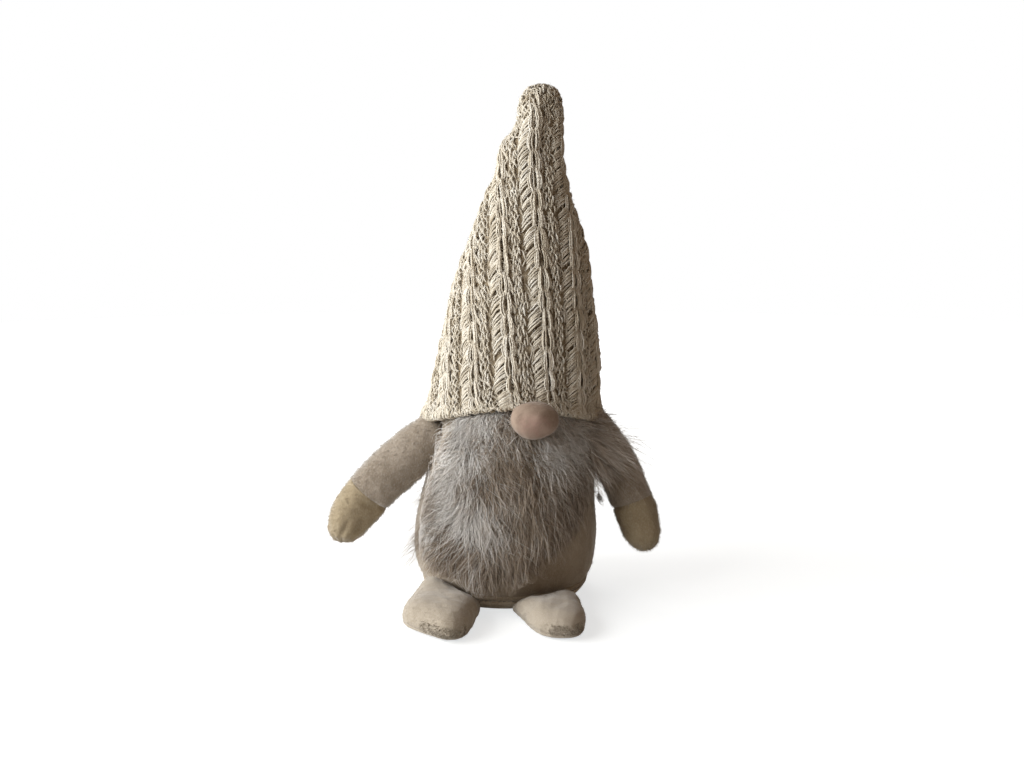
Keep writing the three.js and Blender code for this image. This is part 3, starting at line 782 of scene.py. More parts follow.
def strand_group() -> bpy.types.NodeTree:
    """Strand colours: dark to pale by each strand's tone, darker towards its root."""
    inputs = {"Dark": "Color", "Middle": "Color", "Pale": "Color", "Root": "Float", "Spots": "Float"}
    tree, board, given = node_group("strand_tones", inputs, {"Colour": "Color", "Tone": "Float"})
    tone = board.add("Attribute", {"attribute_name": "tone"}).outputs["Fac"]
    along = board.add("Attribute", {"attribute_name": "along"}).outputs["Fac"]
    spots = board.noise(board.place(), given.outputs["Spots"])
    level = board.maths("ADD", tone, board.spread(spots, 0.3, 0.7, -0.14, 0.14), True)
    low = board.blend(board.spread(level, 0, 0.5), given.outputs["Dark"], given.outputs["Middle"])
    whole = board.blend(board.spread(level, 0.5, 1), low, given.outputs["Pale"])
    root = given.outputs["Root"]
    grown = board.maths("MULTIPLY", board.spread(along, 0, 0.6), board.maths("SUBTRACT", 1.0, root))
    fade = board.maths("ADD", grown, root)
    grey = board.add("CombineColor", None, i0=fade, i1=fade, i2=fade).outputs[0]
    ends = board.add("NodeGroupOutput")
    tree.links.new(board.blend(1.0, whole, grey, "MULTIPLY"), ends.inputs["Colour"])
    tree.links.new(level, ends.inputs["Tone"])
    return tree


@dataclass(frozen=True)
class Finish:
    """What every finish has in common."""

    name: str

    def start(
        self, roughness: float, sheen: float = 0.0, sheen_roughness: float = 0.5
    ) -> tuple[bpy.types.Material, Board, bpy.types.Node]:
        """An empty material with a Principled shader.

        Args:
            roughness: Roughness of the surface.
            sheen: Weight of the sheen.
            sheen_roughness: Roughness of the sheen.

        Returns:
            The material, a board on its tree, and the shader.
        """
        material = bpy.data.materials.new(self.name)
        material.use_nodes = True
        material.node_tree.nodes.clear()
        board = Board(material.node_tree)
        shader = board.add("BsdfPrincipled")
        shader.inputs["Roughness"].default_value = roughness
        shader.inputs["Sheen Weight"].default_value = sheen
        shader.inputs["Sheen Roughness"].default_value = sheen_roughness
        shader.inputs["Specular IOR Level"].default_value = 0.25
        board.add("OutputMaterial", None, Surface=shader.outputs[0])
        return material, board, shader

    def bump(
        self, board: Board, shader: bpy.types.Node, height: Socket, strength: float, depth: float
    ) -> None:
        """Gives the shader a bumpy surface of a depth in millimetres."""
        node = board.add("Bump", None, Strength=strength, Distance=depth * MM, Height=height)
        board.tree.links.new(node.outputs[0], shader.inputs["Normal"])


@dataclass(frozen=True)
class PlushFinish(Finish):
    """Short velour plush."""

    colour: Colour
    shade: Colour
    pale: Colour
    patch: float = 30.0
    fibre: float = 1500.0
    sheen: float = 0.5
    depth: float = 0.2

    def material(self, group: bpy.types.NodeTree) -> bpy.types.Material:
        """The material.

        Args:
            group: The node group of the nap.

        Returns:
            The material.
        """
        material, board, shader = self.start(0.92, self.sheen, 0.45)
        nap = board.add(
            "Group", {"node_tree": group},
            Colour=self.colour, Shade=self.shade, Pale=self.pale, Patch=self.patch, Fibre=self.fibre,
        )
        board.tree.links.new(nap.outputs["Colour"], shader.inputs["Base Color"])
        self.bump(board, shader, nap.outputs["Height"], 0.7, self.depth)
        return material


@dataclass(frozen=True)
class StrandFinish(Finish):
    """Yarn or hair, coloured strand by strand."""

    dark: Colour
    middle: Colour
    pale: Colour
    root: float = 1.0
    spots: float = 160.0
    roughness: float = 0.7
    sheen: float = 0.2
    plies: float = 0.0  # turns of the plies along a strand, 0 for hair

    def material(self, group: bpy.types.NodeTree) -> bpy.types.Material:
        """The material.

        Args:
            group: The node group of the strand tones.

        Returns:
            The material.
        """
        material, board, shader = self.start(self.roughness, self.sheen, 0.4)
        tones = board.add(
            "Group", {"node_tree": group},
            Dark=self.dark, Middle=self.middle, Pale=self.pale, Root=self.root, Spots=self.spots,
        )
        colour = tones.outputs["Colour"]
        if self.plies:
            sides = board.add("SeparateXYZ", None, Vector=board.add("UVMap").outputs["UV"])
            run = board.maths("MULTIPLY", sides.outputs[0], self.plies)
            turn = board.maths("ADD", run, board.maths("MULTIPLY", sides.outputs[1], 2.0))
            twist = board.maths("ABSOLUTE", board.maths("SINE", board.maths("MULTIPLY", turn, math.pi)))
            # Darker where the plies meet: painted shade in the grooves of the twist.
            colour = board.blend(board.spread(twist, 0, 0.45, 0.4, 0), colour, self.dark)
            fluff = board.maths("MULTIPLY", board.noise(board.place(), 1600, 2), 0.7)
            self.bump(board, shader, board.maths("ADD", twist, fluff), 0.8, 0.22)
        board.tree.links.new(colour, shader.inputs["Base Color"])
        return material


@dataclass(frozen=True)
class KnitGroundFinish(Finish):
    """The yarn deep between the stitches, dark as painted shade in the gaps, darkest where its loops meet."""

    colour: Colour
    dark: Colour

    def material(self) -> bpy.types.Material:
        """The material."""
        material, board, shader = self.start(0.95, 0.1, 0.5)
        place = board.place()
        long = board.add("Mapping", None, Vector=place, Scale=(1, 1, 0.5)).outputs["Vector"]
        loops = board.add("TexVoronoi", None, Vector=long, Scale=520.0).outputs["Distance"]
        uneven = board.spread(board.noise(place, 90), 0.3, 0.7, -0.25, 0.25)
        # Darker away from the middle of each loop: painted shade where the loops meet.
        tone = board.maths("ADD", board.spread(loops, 0.1, 0.6, 0.7, 0), uneven, True)
        board.tree.links.new(board.blend(tone, self.dark, self.colour), shader.inputs["Base Color"])
        self.bump(board, shader, tone, 0.9, 0.7)
        return material


@dataclass(frozen=True)
class NoseFinish(Finish):
    """Fine stretch cloth, rosy where it faces forward."""

    colour: Colour
    shade: Colour
    rose: Colour
    centre: Place

    def material(self, group: bpy.types.NodeTree) -> bpy.types.Material:
        """The material.

        Args:
            group: The node group of the nap.

        Returns:
            The material.
        """
        material, board, shader = self.start(0.8, 0.25, 0.4)
        place = board.place()
        scale = (78, 40, 105)
        middle = tuple(-centre * MM * factor for centre, factor in zip(self.centre, scale))
        shifted = board.add("Mapping", None, Vector=place, Location=middle, Scale=scale).outputs["Vector"]
        away = board.add("VectorMath", {"operation": "LENGTH"}, i0=shifted).outputs["Value"]
        nap = board.add(
            "Group", {"node_tree": group},
            Colour=self.colour, Shade=self.shade, Pale=self.colour, Patch=150.0, Fibre=1500.0,
        )
        patches = board.spread(board.noise(place, 260, 3), 0.35, 0.62, 0.25, 1)
        patchy = board.maths("MULTIPLY", board.spread(away, 1.05, 0.1, 0, 1), patches, True)
        rosy = board.blend(patchy, nap.outputs["Colour"], self.rose)
        board.tree.links.new(rosy, shader.inputs["Base Color"])
        rows = board.add(
            "TexWave", {"bands_direction": "Z"}, Vector=place, Scale=420.0, Distortion=1.5, Detail=1.0
        ).outputs["Fac"]
        self.bump(board, shader, board.maths("ADD", rows, nap.outputs["Height"]), 0.5, 0.16)
        return material


@dataclass(frozen=True)
class FillingFinish(Finish):
    """Fibre filling, a cloth pouch or pellets: a plain colour with lumps of a size, darker towards each
    lump's edge as painted shade between the lumps.
    """

    colour: Colour
    shade: Colour
    lumps: float
    roughness: float = 0.95

    def material(self) -> bpy.types.Material:
        """The material."""
        material, board, shader = self.start(self.roughness)
        place = board.place()
        cells = board.add("TexVoronoi", None, Vector=place, Scale=self.lumps).outputs["Distance"]
        uneven = board.spread(board.noise(place, self.lumps * 3), 0.3, 0.7, 0, 0.3)
        # Darker away from each lump's middle: painted shade between the lumps.
        tone = board.maths("ADD", board.spread(cells, 0, 0.8, 0.8, 0), uneven, True)
        board.tree.links.new(board.blend(tone, self.shade, self.colour), shader.inputs["Base Color"])
        self.bump(board, shader, tone, 0.6, 0.6)
        return material


class Wardrobe:
    """All finishes of the gnome, each made once."""

    def __init__(self) -> None:
        """Builds the node groups and the materials."""
        nap, tones = nap_group(), strand_group()

        def plush(name: str, *colours: Colour, **more: float) -> bpy.types.Material:
            """A plush in a colour, with its shaded patches and pale fibres."""
            return PlushFinish(name, *colours, **more).material(nap)

        def strand(name: str, *colours: Colour, **more: float) -> bpy.types.Material:
            """Hair or yarn, from its dark strands to its pale ones."""
            return StrandFinish(name, *colours, **more).material(tones)

        self.body = plush(
            "taupe_plush_body", (0.345, 0.28, 0.205), (0.275, 0.217, 0.153), (0.43, 0.36, 0.275), patch=45.0
        )
        self.sleeve = plush(
            "taupe_plush_sleeve", (0.325, 0.267, 0.208), (0.245, 0.195, 0.142), (0.44, 0.382, 0.32),
            patch=70.0, sheen=1.0,
        )
        self.mitten = plush(
            "beige_plush_mitten", (0.35, 0.28, 0.178), (0.28, 0.215, 0.13), (0.43, 0.352, 0.24)
        )
        self.foot = plush(
            "beige_plush_foot", (0.445, 0.382, 0.302), (0.375, 0.315, 0.24), (0.51, 0.45, 0.368)
        )
        # The base is paler than the feet: its own beige, lifted by painted light against the shade under the
        # sack.
        self.base = plush("beige_plush_base_and_painted_light", (0.60, 0.515, 0.40), (0.49, 0.41, 0.31), (0.67, 0.59, 0.475))
        self.body_pile = strand(
            "taupe_pile_body", (0.25, 0.20, 0.143), (0.345, 0.28, 0.207), (0.45, 0.38, 0.295), root=0.85
        )
        self.sleeve_pile = strand(
            "taupe_pile_sleeve", (0.24, 0.20, 0.15), (0.34, 0.29, 0.23), (0.50, 0.445, 0.38), root=0.85
        )
        self.mitten_pile = strand(
            "beige_pile_mitten", (0.31, 0.245, 0.155), (0.385, 0.31, 0.205), (0.46, 0.38, 0.265), root=0.85
        )
        self.foot_pile = strand(
            "beige_pile_foot", (0.20, 0.158, 0.11), (0.39, 0.33, 0.253), (0.52, 0.46, 0.375), root=0.75
        )
        self.yarn = strand(
            "chunky_yarn", (0.50, 0.425, 0.31), (0.72, 0.655, 0.545), (0.86, 0.82, 0.735),
            spots=120, roughness=0.85, sheen=0.25, plies=7,
        )
        # The ground's colours are dark: painted shade deep between the stitches.
        self.ground = KnitGroundFinish("knit_ground_painted_shade", (0.55, 0.47, 0.35), (0.24, 0.186, 0.12)).material()
        self.fur = strand(
            "beard_fur", (0.225, 0.165, 0.112), (0.44, 0.36, 0.285), (0.79, 0.76, 0.72),
            root=0.45, spots=45, roughness=0.6, sheen=0.15,
        )
        # The backing is very dark: painted shade deep among the hairs.
        self.fur_cloth_painted_shade = plush(
            "beard_cloth_painted_shade", (0.16, 0.125, 0.092), (0.10, 0.078, 0.056), (0.21, 0.165, 0.125)
        )
        self.nose = NoseFinish(
            "nose_cloth", (0.34, 0.252, 0.190), (0.255, 0.182, 0.134), (0.37, 0.225, 0.185), (17.5, -70, 110)
        ).material(nap)
        self.thread = plush("sewing_thread", (0.45, 0.35, 0.27), (0.36, 0.28, 0.2), (0.52, 0.42, 0.33))
        self.fibre = FillingFinish("fibre_filling", (0.85, 0.84, 0.81), (0.62, 0.61, 0.58), 120).material()
        self.pouch = FillingFinish("pouch_cloth", (0.76, 0.72, 0.62), (0.58, 0.54, 0.45), 700).material()
        self.pellets = FillingFinish(
            "matte_plastic_pellets", (0.74, 0.74, 0.74), (0.3, 0.3, 0.3), 300, 0.55
        ).material()


def settle(
    made: bpy.types.Object, material: bpy.types.Material, body: str, replaces: Sequence[str] = ()
) -> bpy.types.Object:
    """Dresses a piece and makes it ride on a body.

    Args:
        made: The piece.
        material: Its material.
        body: The body that carries it, or nothing for a piece that no body carries.
        replaces: The frame's nodes that it stands for.

    Returns:
        The piece.
    """
    made.data.materials.clear()
    made.data.materials.append(material)
    if replaces:
        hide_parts(*replaces)
    if body:
        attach(made, body)
    LOG.info("%s: %d points on %s", made.name, len(made.data.vertices), body or "a joint")
    return made


# --- Body ---


@dataclass
class Body:
    """The plush sack, its base panel and the seam between them."""

    wardrobe: Wardrobe
    shrunk: float = 0.8  # before it swells
    cap: float = 1.6
    sides: int = 96
    puckers: int = 54
    stitches: int = 118
    hairs: Pile = Pile(7000, 1.3, 0.07, 31, 0.4)
    cover: bpy.types.Object | None = None

    def form(self, padding: Padding) -> None:
        """Makes the sack's plain form and hands it over for swelling."""
        line = SACK.line()
        step = unit(np.gradient(line, axis=0))
        inner = line - np.stack([step[:, 1], -step[:, 0]], 1) * self.shrunk
        inner[:, 0] = np.maximum(inner[:, 0], 0)
        inner[0] = line[0] - (self.shrunk, 0)
        closed = np.vstack([[0, line[0, 1]], inner[:-1], [0, inner[-1, 1]]])
        self.cover = turned("body_cover_plush", closed, self.sides, SACK.share)

        def held(points: Array) -> Array:
            """Sewn at the base seam, and held under the hat."""
            return 1 - smoothstep(points[:, 2], 7, 13) * (1 - smoothstep(points[:, 2], 112, 124))

        padding.take(self.cover, 4.0, self.cap, held)

    def finish(self) -> None:
        """Puckers the sack above its base seam, furrows its back seam and dresses it."""
        subdivide(self.cover, 2)

        def pucker(points: Array) -> Array:
            """Moves points along the outward direction."""
            outward = normals_of(self.cover.data)
            angle = np.arctan2(points[:, 0] - STANCE.side(points[:, 2]), -points[:, 1])
            low = (1 - smoothstep(points[:, 2], 7, 13)) * (points[:, 2] > 7)
            move = -0.12 * low * np.sin(angle * self.puckers + 2 * np.sin(angle * 5))
            move = move - 0.15 * hump(points[:, 2], 6.5, 1.8)
            away = np.abs(np.abs(angle) - math.pi) * 50
            move = move - 0.9 * hump(away, 0, 1.7) + 0.35 * hump(away, 4.2, 2.2)
            move = move + 0.45 * ripple(points, 34, 11) + 0.12 * ripple(points, 9, 12)
            move = np.where(points[:, 2] < SACK.seam_height + 0.6, 0, move)
            return points + outward * move[:, None]

        reshape(self.cover, pucker)
        settle(self.cover, self.wardrobe.body, "torso", ["body_cover"])
        self.panel()
        self.seam()
        self.nap()

    def panel(self) -> None:
        """The round panel that closes the bottom, as a shallow dish of cloth."""
        outer = np.array([(0, 0), (24, 0), (40, 0), (44, 0.15), (46.4, 1.6), (48.2, 3.9), (49, 6)])
        inner = np.array([(47.3, 6), (46.6, 4.4), (45.2, 2.7), (43.4, 1.7), (24, 1.6), (0, 1.6)])
        made = turned("base_panel_plush", np.vstack([outer, inner]), self.sides, SACK.share)
        settle(made, self.wardrobe.base, "torso", ["base_panel"])

    def seam(self) -> None:
        """The folded edge and the stitches between sack and base."""
        fold = np.array([
            (46.8, 6.2), (48.7, 6.1), (49.6, 6.7), (49.9, 7.6),
            (49.6, 8.7), (48.4, 9.7), (46.8, 9.7), (46.8, 6.2),
        ])
        welt = turned("base_seam_fold", fold, self.sides, SACK.share)
        settle(welt, self.wardrobe.body, "torso")
        rng = np.random.default_rng(21)
        count = self.stitches
        angle = np.linspace(0, TAU, count, endpoint=False)
        span = np.linspace(-0.5, 0.5, 5)
        turn = angle[:, None] + span * (TAU / count) * 0.72
        out = 0.15 + 0.4 * np.cos(span * math.pi)
        radius = SACK.seam_width / 2 + out - 0.15  # sunk into the fold
        height = SACK.seam_height + 0.2 + 0.25 * np.sin(span * math.pi) + rng.normal(0, 0.06, (count, 1))
        places = np.stack([radius * np.sin(turn), -radius * SACK.share * np.cos(turn), height + 0 * turn], -1)
        stitches = Strands("base_seam_stitches", 5)
        stitches.add(places, 0.3, rng.random(count))
        settle(stitches.build(), self.wardrobe.sleeve_pile, "torso")

    def nap(self) -> None:
        """Short fibres that soften the sack's outline."""

        def lay(root: Array, _: Array) -> tuple[Array, Array]:
            """Lies down, off the parts that the hat covers."""
            down = np.broadcast_to([0.0, 0.0, -1.0], root.shape)
            shown = (root[:, 2] > 8) * (root[:, 2] < 112 - 6 * (root[:, 1] > 0))
            return down, shown * 0.9

        hairs = pile("body_nap", self.cover, self.hairs, lay)
        settle(hairs, self.wardrobe.body_pile, "torso")


@dataclass
class Stuffing:
    """The torso's fillings, the pellets and their pouch, which the covers hide."""

    wardrobe: Wardrobe
    lumps: float = 1.2

    def copy(self, node: str, name: str, voxel: float, smoothing: int) -> bpy.types.Object:
        """A rounder copy of one of the frame's nodes, which stays within it.

        Args:
            node: The frame's node.
            name: Name of the piece.
            voxel: Size of its cells.
            smoothing: How often its points are smoothed.

        Returns:
            The piece.
        """
        bm = bmesh.new()
        bm.from_mesh(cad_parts[node].data)
        bmesh.ops.remove_doubles(bm, verts=bm.verts, dist=1e-6)
        made = object_from(name, bm)
        remesh(made, voxel)
        soften(made, smoothing)
        outward = normals_of(made.data)
        return reshape(
            made, lambda points: points - outward * (self.lumps + 0.4 * ripple(points, 9, 41))[:, None]
        )

    def build(self) -> None:
        """Builds and dresses the inner pieces of the torso."""
        for node, voxel in (("body_filling", 3.5), ("hat_filling", 3.5), ("nose_filling", 2.0)):
            made = self.copy(node, node.replace("filling", "fibre"), voxel, 3)
            settle(made, self.wardrobe.fibre, "torso", [node])
        pouch = self.copy("pellet_pouch", "pellet_pouch_cloth", 0.7, 1)
        thinned = pouch.modifiers.new("Fewer faces", "DECIMATE")
        thinned.ratio = 0.15
        apply_modifiers(pouch)
        settle(pouch, self.wardrobe.pouch, "torso", ["pellet_pouch"])
        pellets = self.copy("pellets", "pellet_mass", 2.0, 2)
        settle(pellets, self.wardrobe.pellets, "torso", ["pellets"])


# --- Hat ---


class Yarn(Enum):
    """The kinds of strand in one repeat of the knit."""

    FAN = "fans"
    CHAIN = "chains"
    BEAD = "beads"


@dataclass
class Hat:
    """The knitted hat: a dark ground of painted shade between the stitches, the strands of its stitches, its
    turned hem and its back seam.
    """

    wardrobe: Wardrobe
    pitch: float = 21.5  # width of one repeat
    row: float = 11.5  # height of one row of stitches
    groove: float = -16.75  # where the front groove lies across the flat knit
    sunk: float = -1.55  # the level of the strands' feet against the smooth form
    wall: float = 1.7
    seam_edge: float = math.pi - 0.004  # the last angle before the back seam
    crowd_tries: int = 19500  # places tried for strands between the stitches
    loops: int = 400  # round the turned edge
    fibres: int = 4600  # loose ones
    seam_pitch: float = 2.6  # from one stitch of the back seam to the next
    ground: bpy.types.Object | None = None
    yarns: list[bpy.types.Object] = field(default_factory=list)

    def keep(self, strands: Strands) -> None:
        """Builds and dresses strands of yarn, which belong to the sheet."""
        self.yarns.append(settle(strands.build(), self.wardrobe.yarn, "torso"))

    def build(self) -> None:
        """Builds and dresses all pieces of the hat."""
        length = HAT.length()

        def shell(across: Array, along: Array) -> Array:
            """The ground under the stitches."""
            angle = (across - 0.5) * TAU
            return HAT.place(angle, (1 - along) * (length - 0.4), self.sunk + 0.1)

        self.ground = grid_form("knit_ground_painted_shade", 104, 92, shell, self.wall, True)
        settle(self.ground, self.wardrobe.ground, "torso", ["knit_hat"])
        for kind, seed in ((Yarn.FAN, 51), (Yarn.CHAIN, 52), (Yarn.BEAD, 53)):
            self.stitches(kind, seed)
        self.crowd()
        self.hem()
        self.back_seam()
        self.fluff()
        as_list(self.yarns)

    def templates(self, kind: Yarn) -> tuple[Array, float]:
        """The strands of one kind in one repeat.

        Args:
            kind: Which strands.

        Returns:
            Their points, as (strand, point, (across, up in rows, out)), and their half thickness.
        """
        share = np.linspace(0, 1, 7)
        strands = []
        if kind is Yarn.FAN:
            for k in range(8):
                start, end = (1.4 + 0.07 * k, 0.11 * k - 0.03), (8.9, 0.11 * k + 0.5)
                bend = (4.4, 0.112 * k + 0.28)
                path = np.outer((1 - share) ** 2, start) + np.outer(2 * share * (1 - share), bend)
                path = path + np.outer(share**2, end)
                strands.append(np.column_stack([path, 0.15 + 1.75 * np.sin(share * 2.4)]))
            for k in range(5):
                start, end = np.array([16.2 - 0.65 * k, 0.03 * k]), np.array([12.7, 0.62 + 0.1 * k])
                path = mix(start, end, share[:, None]) + np.outer(np.sin(share * math.pi), [0.3, 0.05])
                strands.append(np.column_stack([path, 0.35 + 1.3 * np.sin(share * 2.3)]))
            return np.array(strands), 0.52
        if kind is Yarn.CHAIN:
            for side in (-1, 1):
                for ply in (-1.1, -0.37, 0.37, 1.1):
                    bow = np.sin(np.clip(share * 0.96 + 0.02, 0, 1) ** 0.7 * math.pi) ** 0.8
                    across = 10.9 + side * (0.75 + 1.45 * bow) + ply * (0.55 + 0.4 * bow)
                    rise = np.sin(np.clip(share * 0.96 + 0.04, 0, 1) * math.pi) ** 0.7
                    out = 0.9 + 1.9 * rise - 0.45 * abs(ply)
                    strands.append(np.column_stack([across, share * 1.3 - 0.12, out]))
            return np.array(strands), 0.46
        beads = ((16.7, 0.0, 0.8), (17.9, 0.27, -0.6), (19.1, 0.1, 0.7), (20.3, 0.36, -0.7))
        for centre, lift, lean in beads:
            for step in (0.0, 0.5):
                across = centre + lean * (share - 0.5)
                up = lift + step + 0.45 * share
                strands.append(np.column_stack([across, up, 0.3 + 1.55 * np.sin(share * math.pi)]))
        for low in (0.05, 0.55):
            across = mix(19.9, 16.6, share)
            strands.append(np.column_stack([across, low + 0.3 * share, 0.25 + 0.6 * np.sin(share * math.pi)]))
        return np.array(strands), 0.52

    def stitches(self, kind: Yarn, seed: int) -> None:
        """Lays one kind of strand over the whole hat.

        Args:
            kind: Which strands.
            seed: Which small differences between the stitches.
        """
        rng = np.random.default_rng(seed)
        templates, half = self.templates(kind)
        length = HAT.length()
        columns = self.groove + self.pitch * np.arange(-8, 9)
        rows = self.row * np.arange(-1, 22)
        cells = np.array([(column, row) for column in columns for row in rows])
        paths = np.broadcast_to(templates, (len(cells), *templates.shape)).copy()
        shift = rng.normal(0, 1, (len(cells), 1, 1, 3)) * (0.36, 0.035, 0.2)
        paths = paths + shift + rng.normal(0, 1, (len(cells), len(templates), 1, 3)) * (0.22, 0.03, 0.24)
        paths = paths + rng.normal(0, 1, paths.shape) * (0.12, 0.01, 0.08)
        across = cells[:, 0, None, None] + paths[..., 0]
        down = cells[:, 1, None, None] + (1 - paths[..., 1]) * self.row
        tones = 0.5 + rng.normal(0, 0.17, paths.shape[:2]) + rng.normal(0, 0.06, (len(cells), 1))
        angle, distance = HAT.from_flat(across, down)
        middle = angle.shape[-1] // 2
        whole = (np.abs(angle[..., middle]) < math.pi) & (distance[..., middle] < length + 1)
        # Towards the tip the stitches are lost among crowded strands.
        kept = whole & (rng.random(whole.shape) < smoothstep(distance[..., middle], 6, 42))
        angle, distance, out, tones = angle[kept], distance[kept], paths[kept][..., 2], tones[kept]
        angle = np.clip(angle, -self.seam_edge, self.seam_edge)
        crowded = smoothstep(distance, length - 13, length - 3)
        out = mix(out, np.minimum(out, 1.35) + 0.35, crowded)
        # The turned edge rolls in.
        out = out - 1.6 * smoothstep(distance, length - 2.5, length + 1)
        distance = distance - 0.95 * np.maximum(distance - length - 0.2, 0)
        out = out * (0.4 + 0.6 * smoothstep(distance, 0, 14))
        places = HAT.place(angle, distance, self.sunk + out)
        count = 2 if kind is Yarn.FAN else 1
        for part in range(count):
            strands = Strands(f"knit_{kind.value}_{part + 1}", 5)
            radii = half * np.array([0.72, 0.95, 1, 1.04, 1, 0.95, 0.72])
            strands.add(places[part::count], radii, tones[part::count])
            self.keep(strands)

    def crowd(self) -> None:
        """Short strands between the stitches, closest at the tip and above the turned edge."""
        rng = np.random.default_rng(57)
        length = HAT.length()
        tries = self.crowd_tries
        across, down = rng.uniform(-160, 160, tries), rng.uniform(-10, length, tries)
        distance = HAT.from_flat(across, down)[1]
        crowded = (1 - smoothstep(distance, 20, 48)) + smoothstep(distance, length - 14, length - 8)
        kept = rng.random(tries) < mix(0.22, 1.0, crowded)
        across, down, crowded = across[kept, None], down[kept, None], crowded[kept, None]
        share = np.linspace(-0.5, 0.5, 5)
        long, slant = rng.uniform(3.2, 6.5, across.shape), rng.normal(0.1, 0.4, across.shape)
        angle, distance = HAT.from_flat(
            across + share * long * np.sin(slant), down + share * long * np.cos(slant)
        )
        kept = (np.abs(angle[:, 2]) < math.pi - 0.02) & (distance.max(1) < length - 0.3)
        kept = kept & (distance.min(1) > 1)
        angle, distance, crowded = angle[kept], distance[kept], crowded[kept]
        level = rng.uniform(0.3, mix(0.9, 1.5, crowded), (len(angle), 1)) + 0.7 * np.cos(share * math.pi)
        level = level * (0.4 + 0.6 * smoothstep(distance, 0, 14))
        strands = Strands("knit_crowd", 4)
        places = HAT.place(np.clip(angle, -self.seam_edge, self.seam_edge), distance, self.sunk + level)
        strands.add(places, 0.46, np.clip(rng.normal(0.46, 0.17, len(angle)), 0, 1))
        self.keep(strands)

    def hem(self) -> None:
        """The turned edge, wrapped by uneven loops."""
        rng = np.random.default_rng(54)
        length = HAT.length()
        count = self.loops
        angle = np.linspace(-math.pi, math.pi, count, endpoint=False) + rng.normal(0, 0.012, count)
        turn = np.linspace(-0.35, 1, 7)
        above = rng.uniform(2.0, 6.5, (count, 1)) * (1 - np.clip(turn * 3, -1, 1)) / 2
        along = length - above + rng.uniform(0.2, 1.2, (count, 1)) * np.sin(np.clip(turn, 0, 1) * math.pi)
        out = 1.7 - 4.2 * smoothstep(turn, 0.1, 0.95) + rng.normal(0, 0.25, (count, 1))
        around = angle[:, None] + rng.normal(0.01, 0.045, (count, 1)) * turn
        places = HAT.place(around, np.minimum(along, length), self.sunk + out)
        places[..., 2] -= np.maximum(along - length, 0)
        loops = Strands("knit_hem_loops", 5)
        loops.add(places, 0.47, np.clip(rng.normal(0.42, 0.17, count), 0, 1))
        self.keep(loops)

    def back_seam(self) -> None:
        """Slanted stitches that close the hat up its back."""
        rng = np.random.default_rng(55)
        length = HAT.length()
        distance = np.arange(9, length - 1, self.seam_pitch)
        share = np.linspace(-1, 1, 6)
        half = np.minimum(2.4, 0.35 * HAT.radius(distance))[:, None]
        around = math.pi + share * half / np.maximum(HAT.radius(distance), 3)[:, None]
        along = distance[:, None] + share * 1.5 + rng.normal(0, 0.12, (len(distance), 1))
        out = 2.1 + 0.5 * np.cos(share * math.pi / 2) + rng.normal(0, 0.08, (len(distance), 1))
        seam = Strands("knit_back_seam", 6)
        tones = np.clip(rng.normal(0.5, 0.12, len(distance)), 0, 1)
        seam.add(HAT.place(around, along, self.sunk + out), 0.62, tones)
        ridge = np.linspace(6, length - 1, 80)
        for side in (-1, 1):
            angle = math.pi + side * 1.5 / np.maximum(HAT.radius(ridge), 3)
            places = HAT.place(angle, ridge, self.sunk + 1.1 + 0.3 * np.sin(ridge * 2.4))
            seam.add(places[None], 0.95, 0.42)
        self.keep(seam)

    def fluff(self) -> None:
        """Loose fine fibres of the yarn."""
        rng = np.random.default_rng(56)
        length = HAT.length()
        count = self.fibres
        distance = length * np.sqrt(rng.uniform(0.002, 1, count))
        angle = rng.uniform(-math.pi, math.pi, count)
        share = np.linspace(0, 1, 4)
        way = rng.uniform(0, TAU, count)[:, None]
        long = rng.uniform(1.5, 4.5, count)[:, None]
        along = np.minimum(distance[:, None] + share * long * np.cos(way), length)
        around = angle[:, None] + share * long * np.sin(way) / np.maximum(HAT.radius(distance), 3)[:, None]
        out = 1.6 + share * rng.uniform(0.2, 1.9, (count, 1))
        fibres = Strands("knit_fluff")
        radii = np.array([0.07, 0.06, 0.05, 0.03])
        fibres.add(HAT.place(around, along, self.sunk + out), radii, rng.random(count))
        self.keep(fibres)


# --- Nose ---


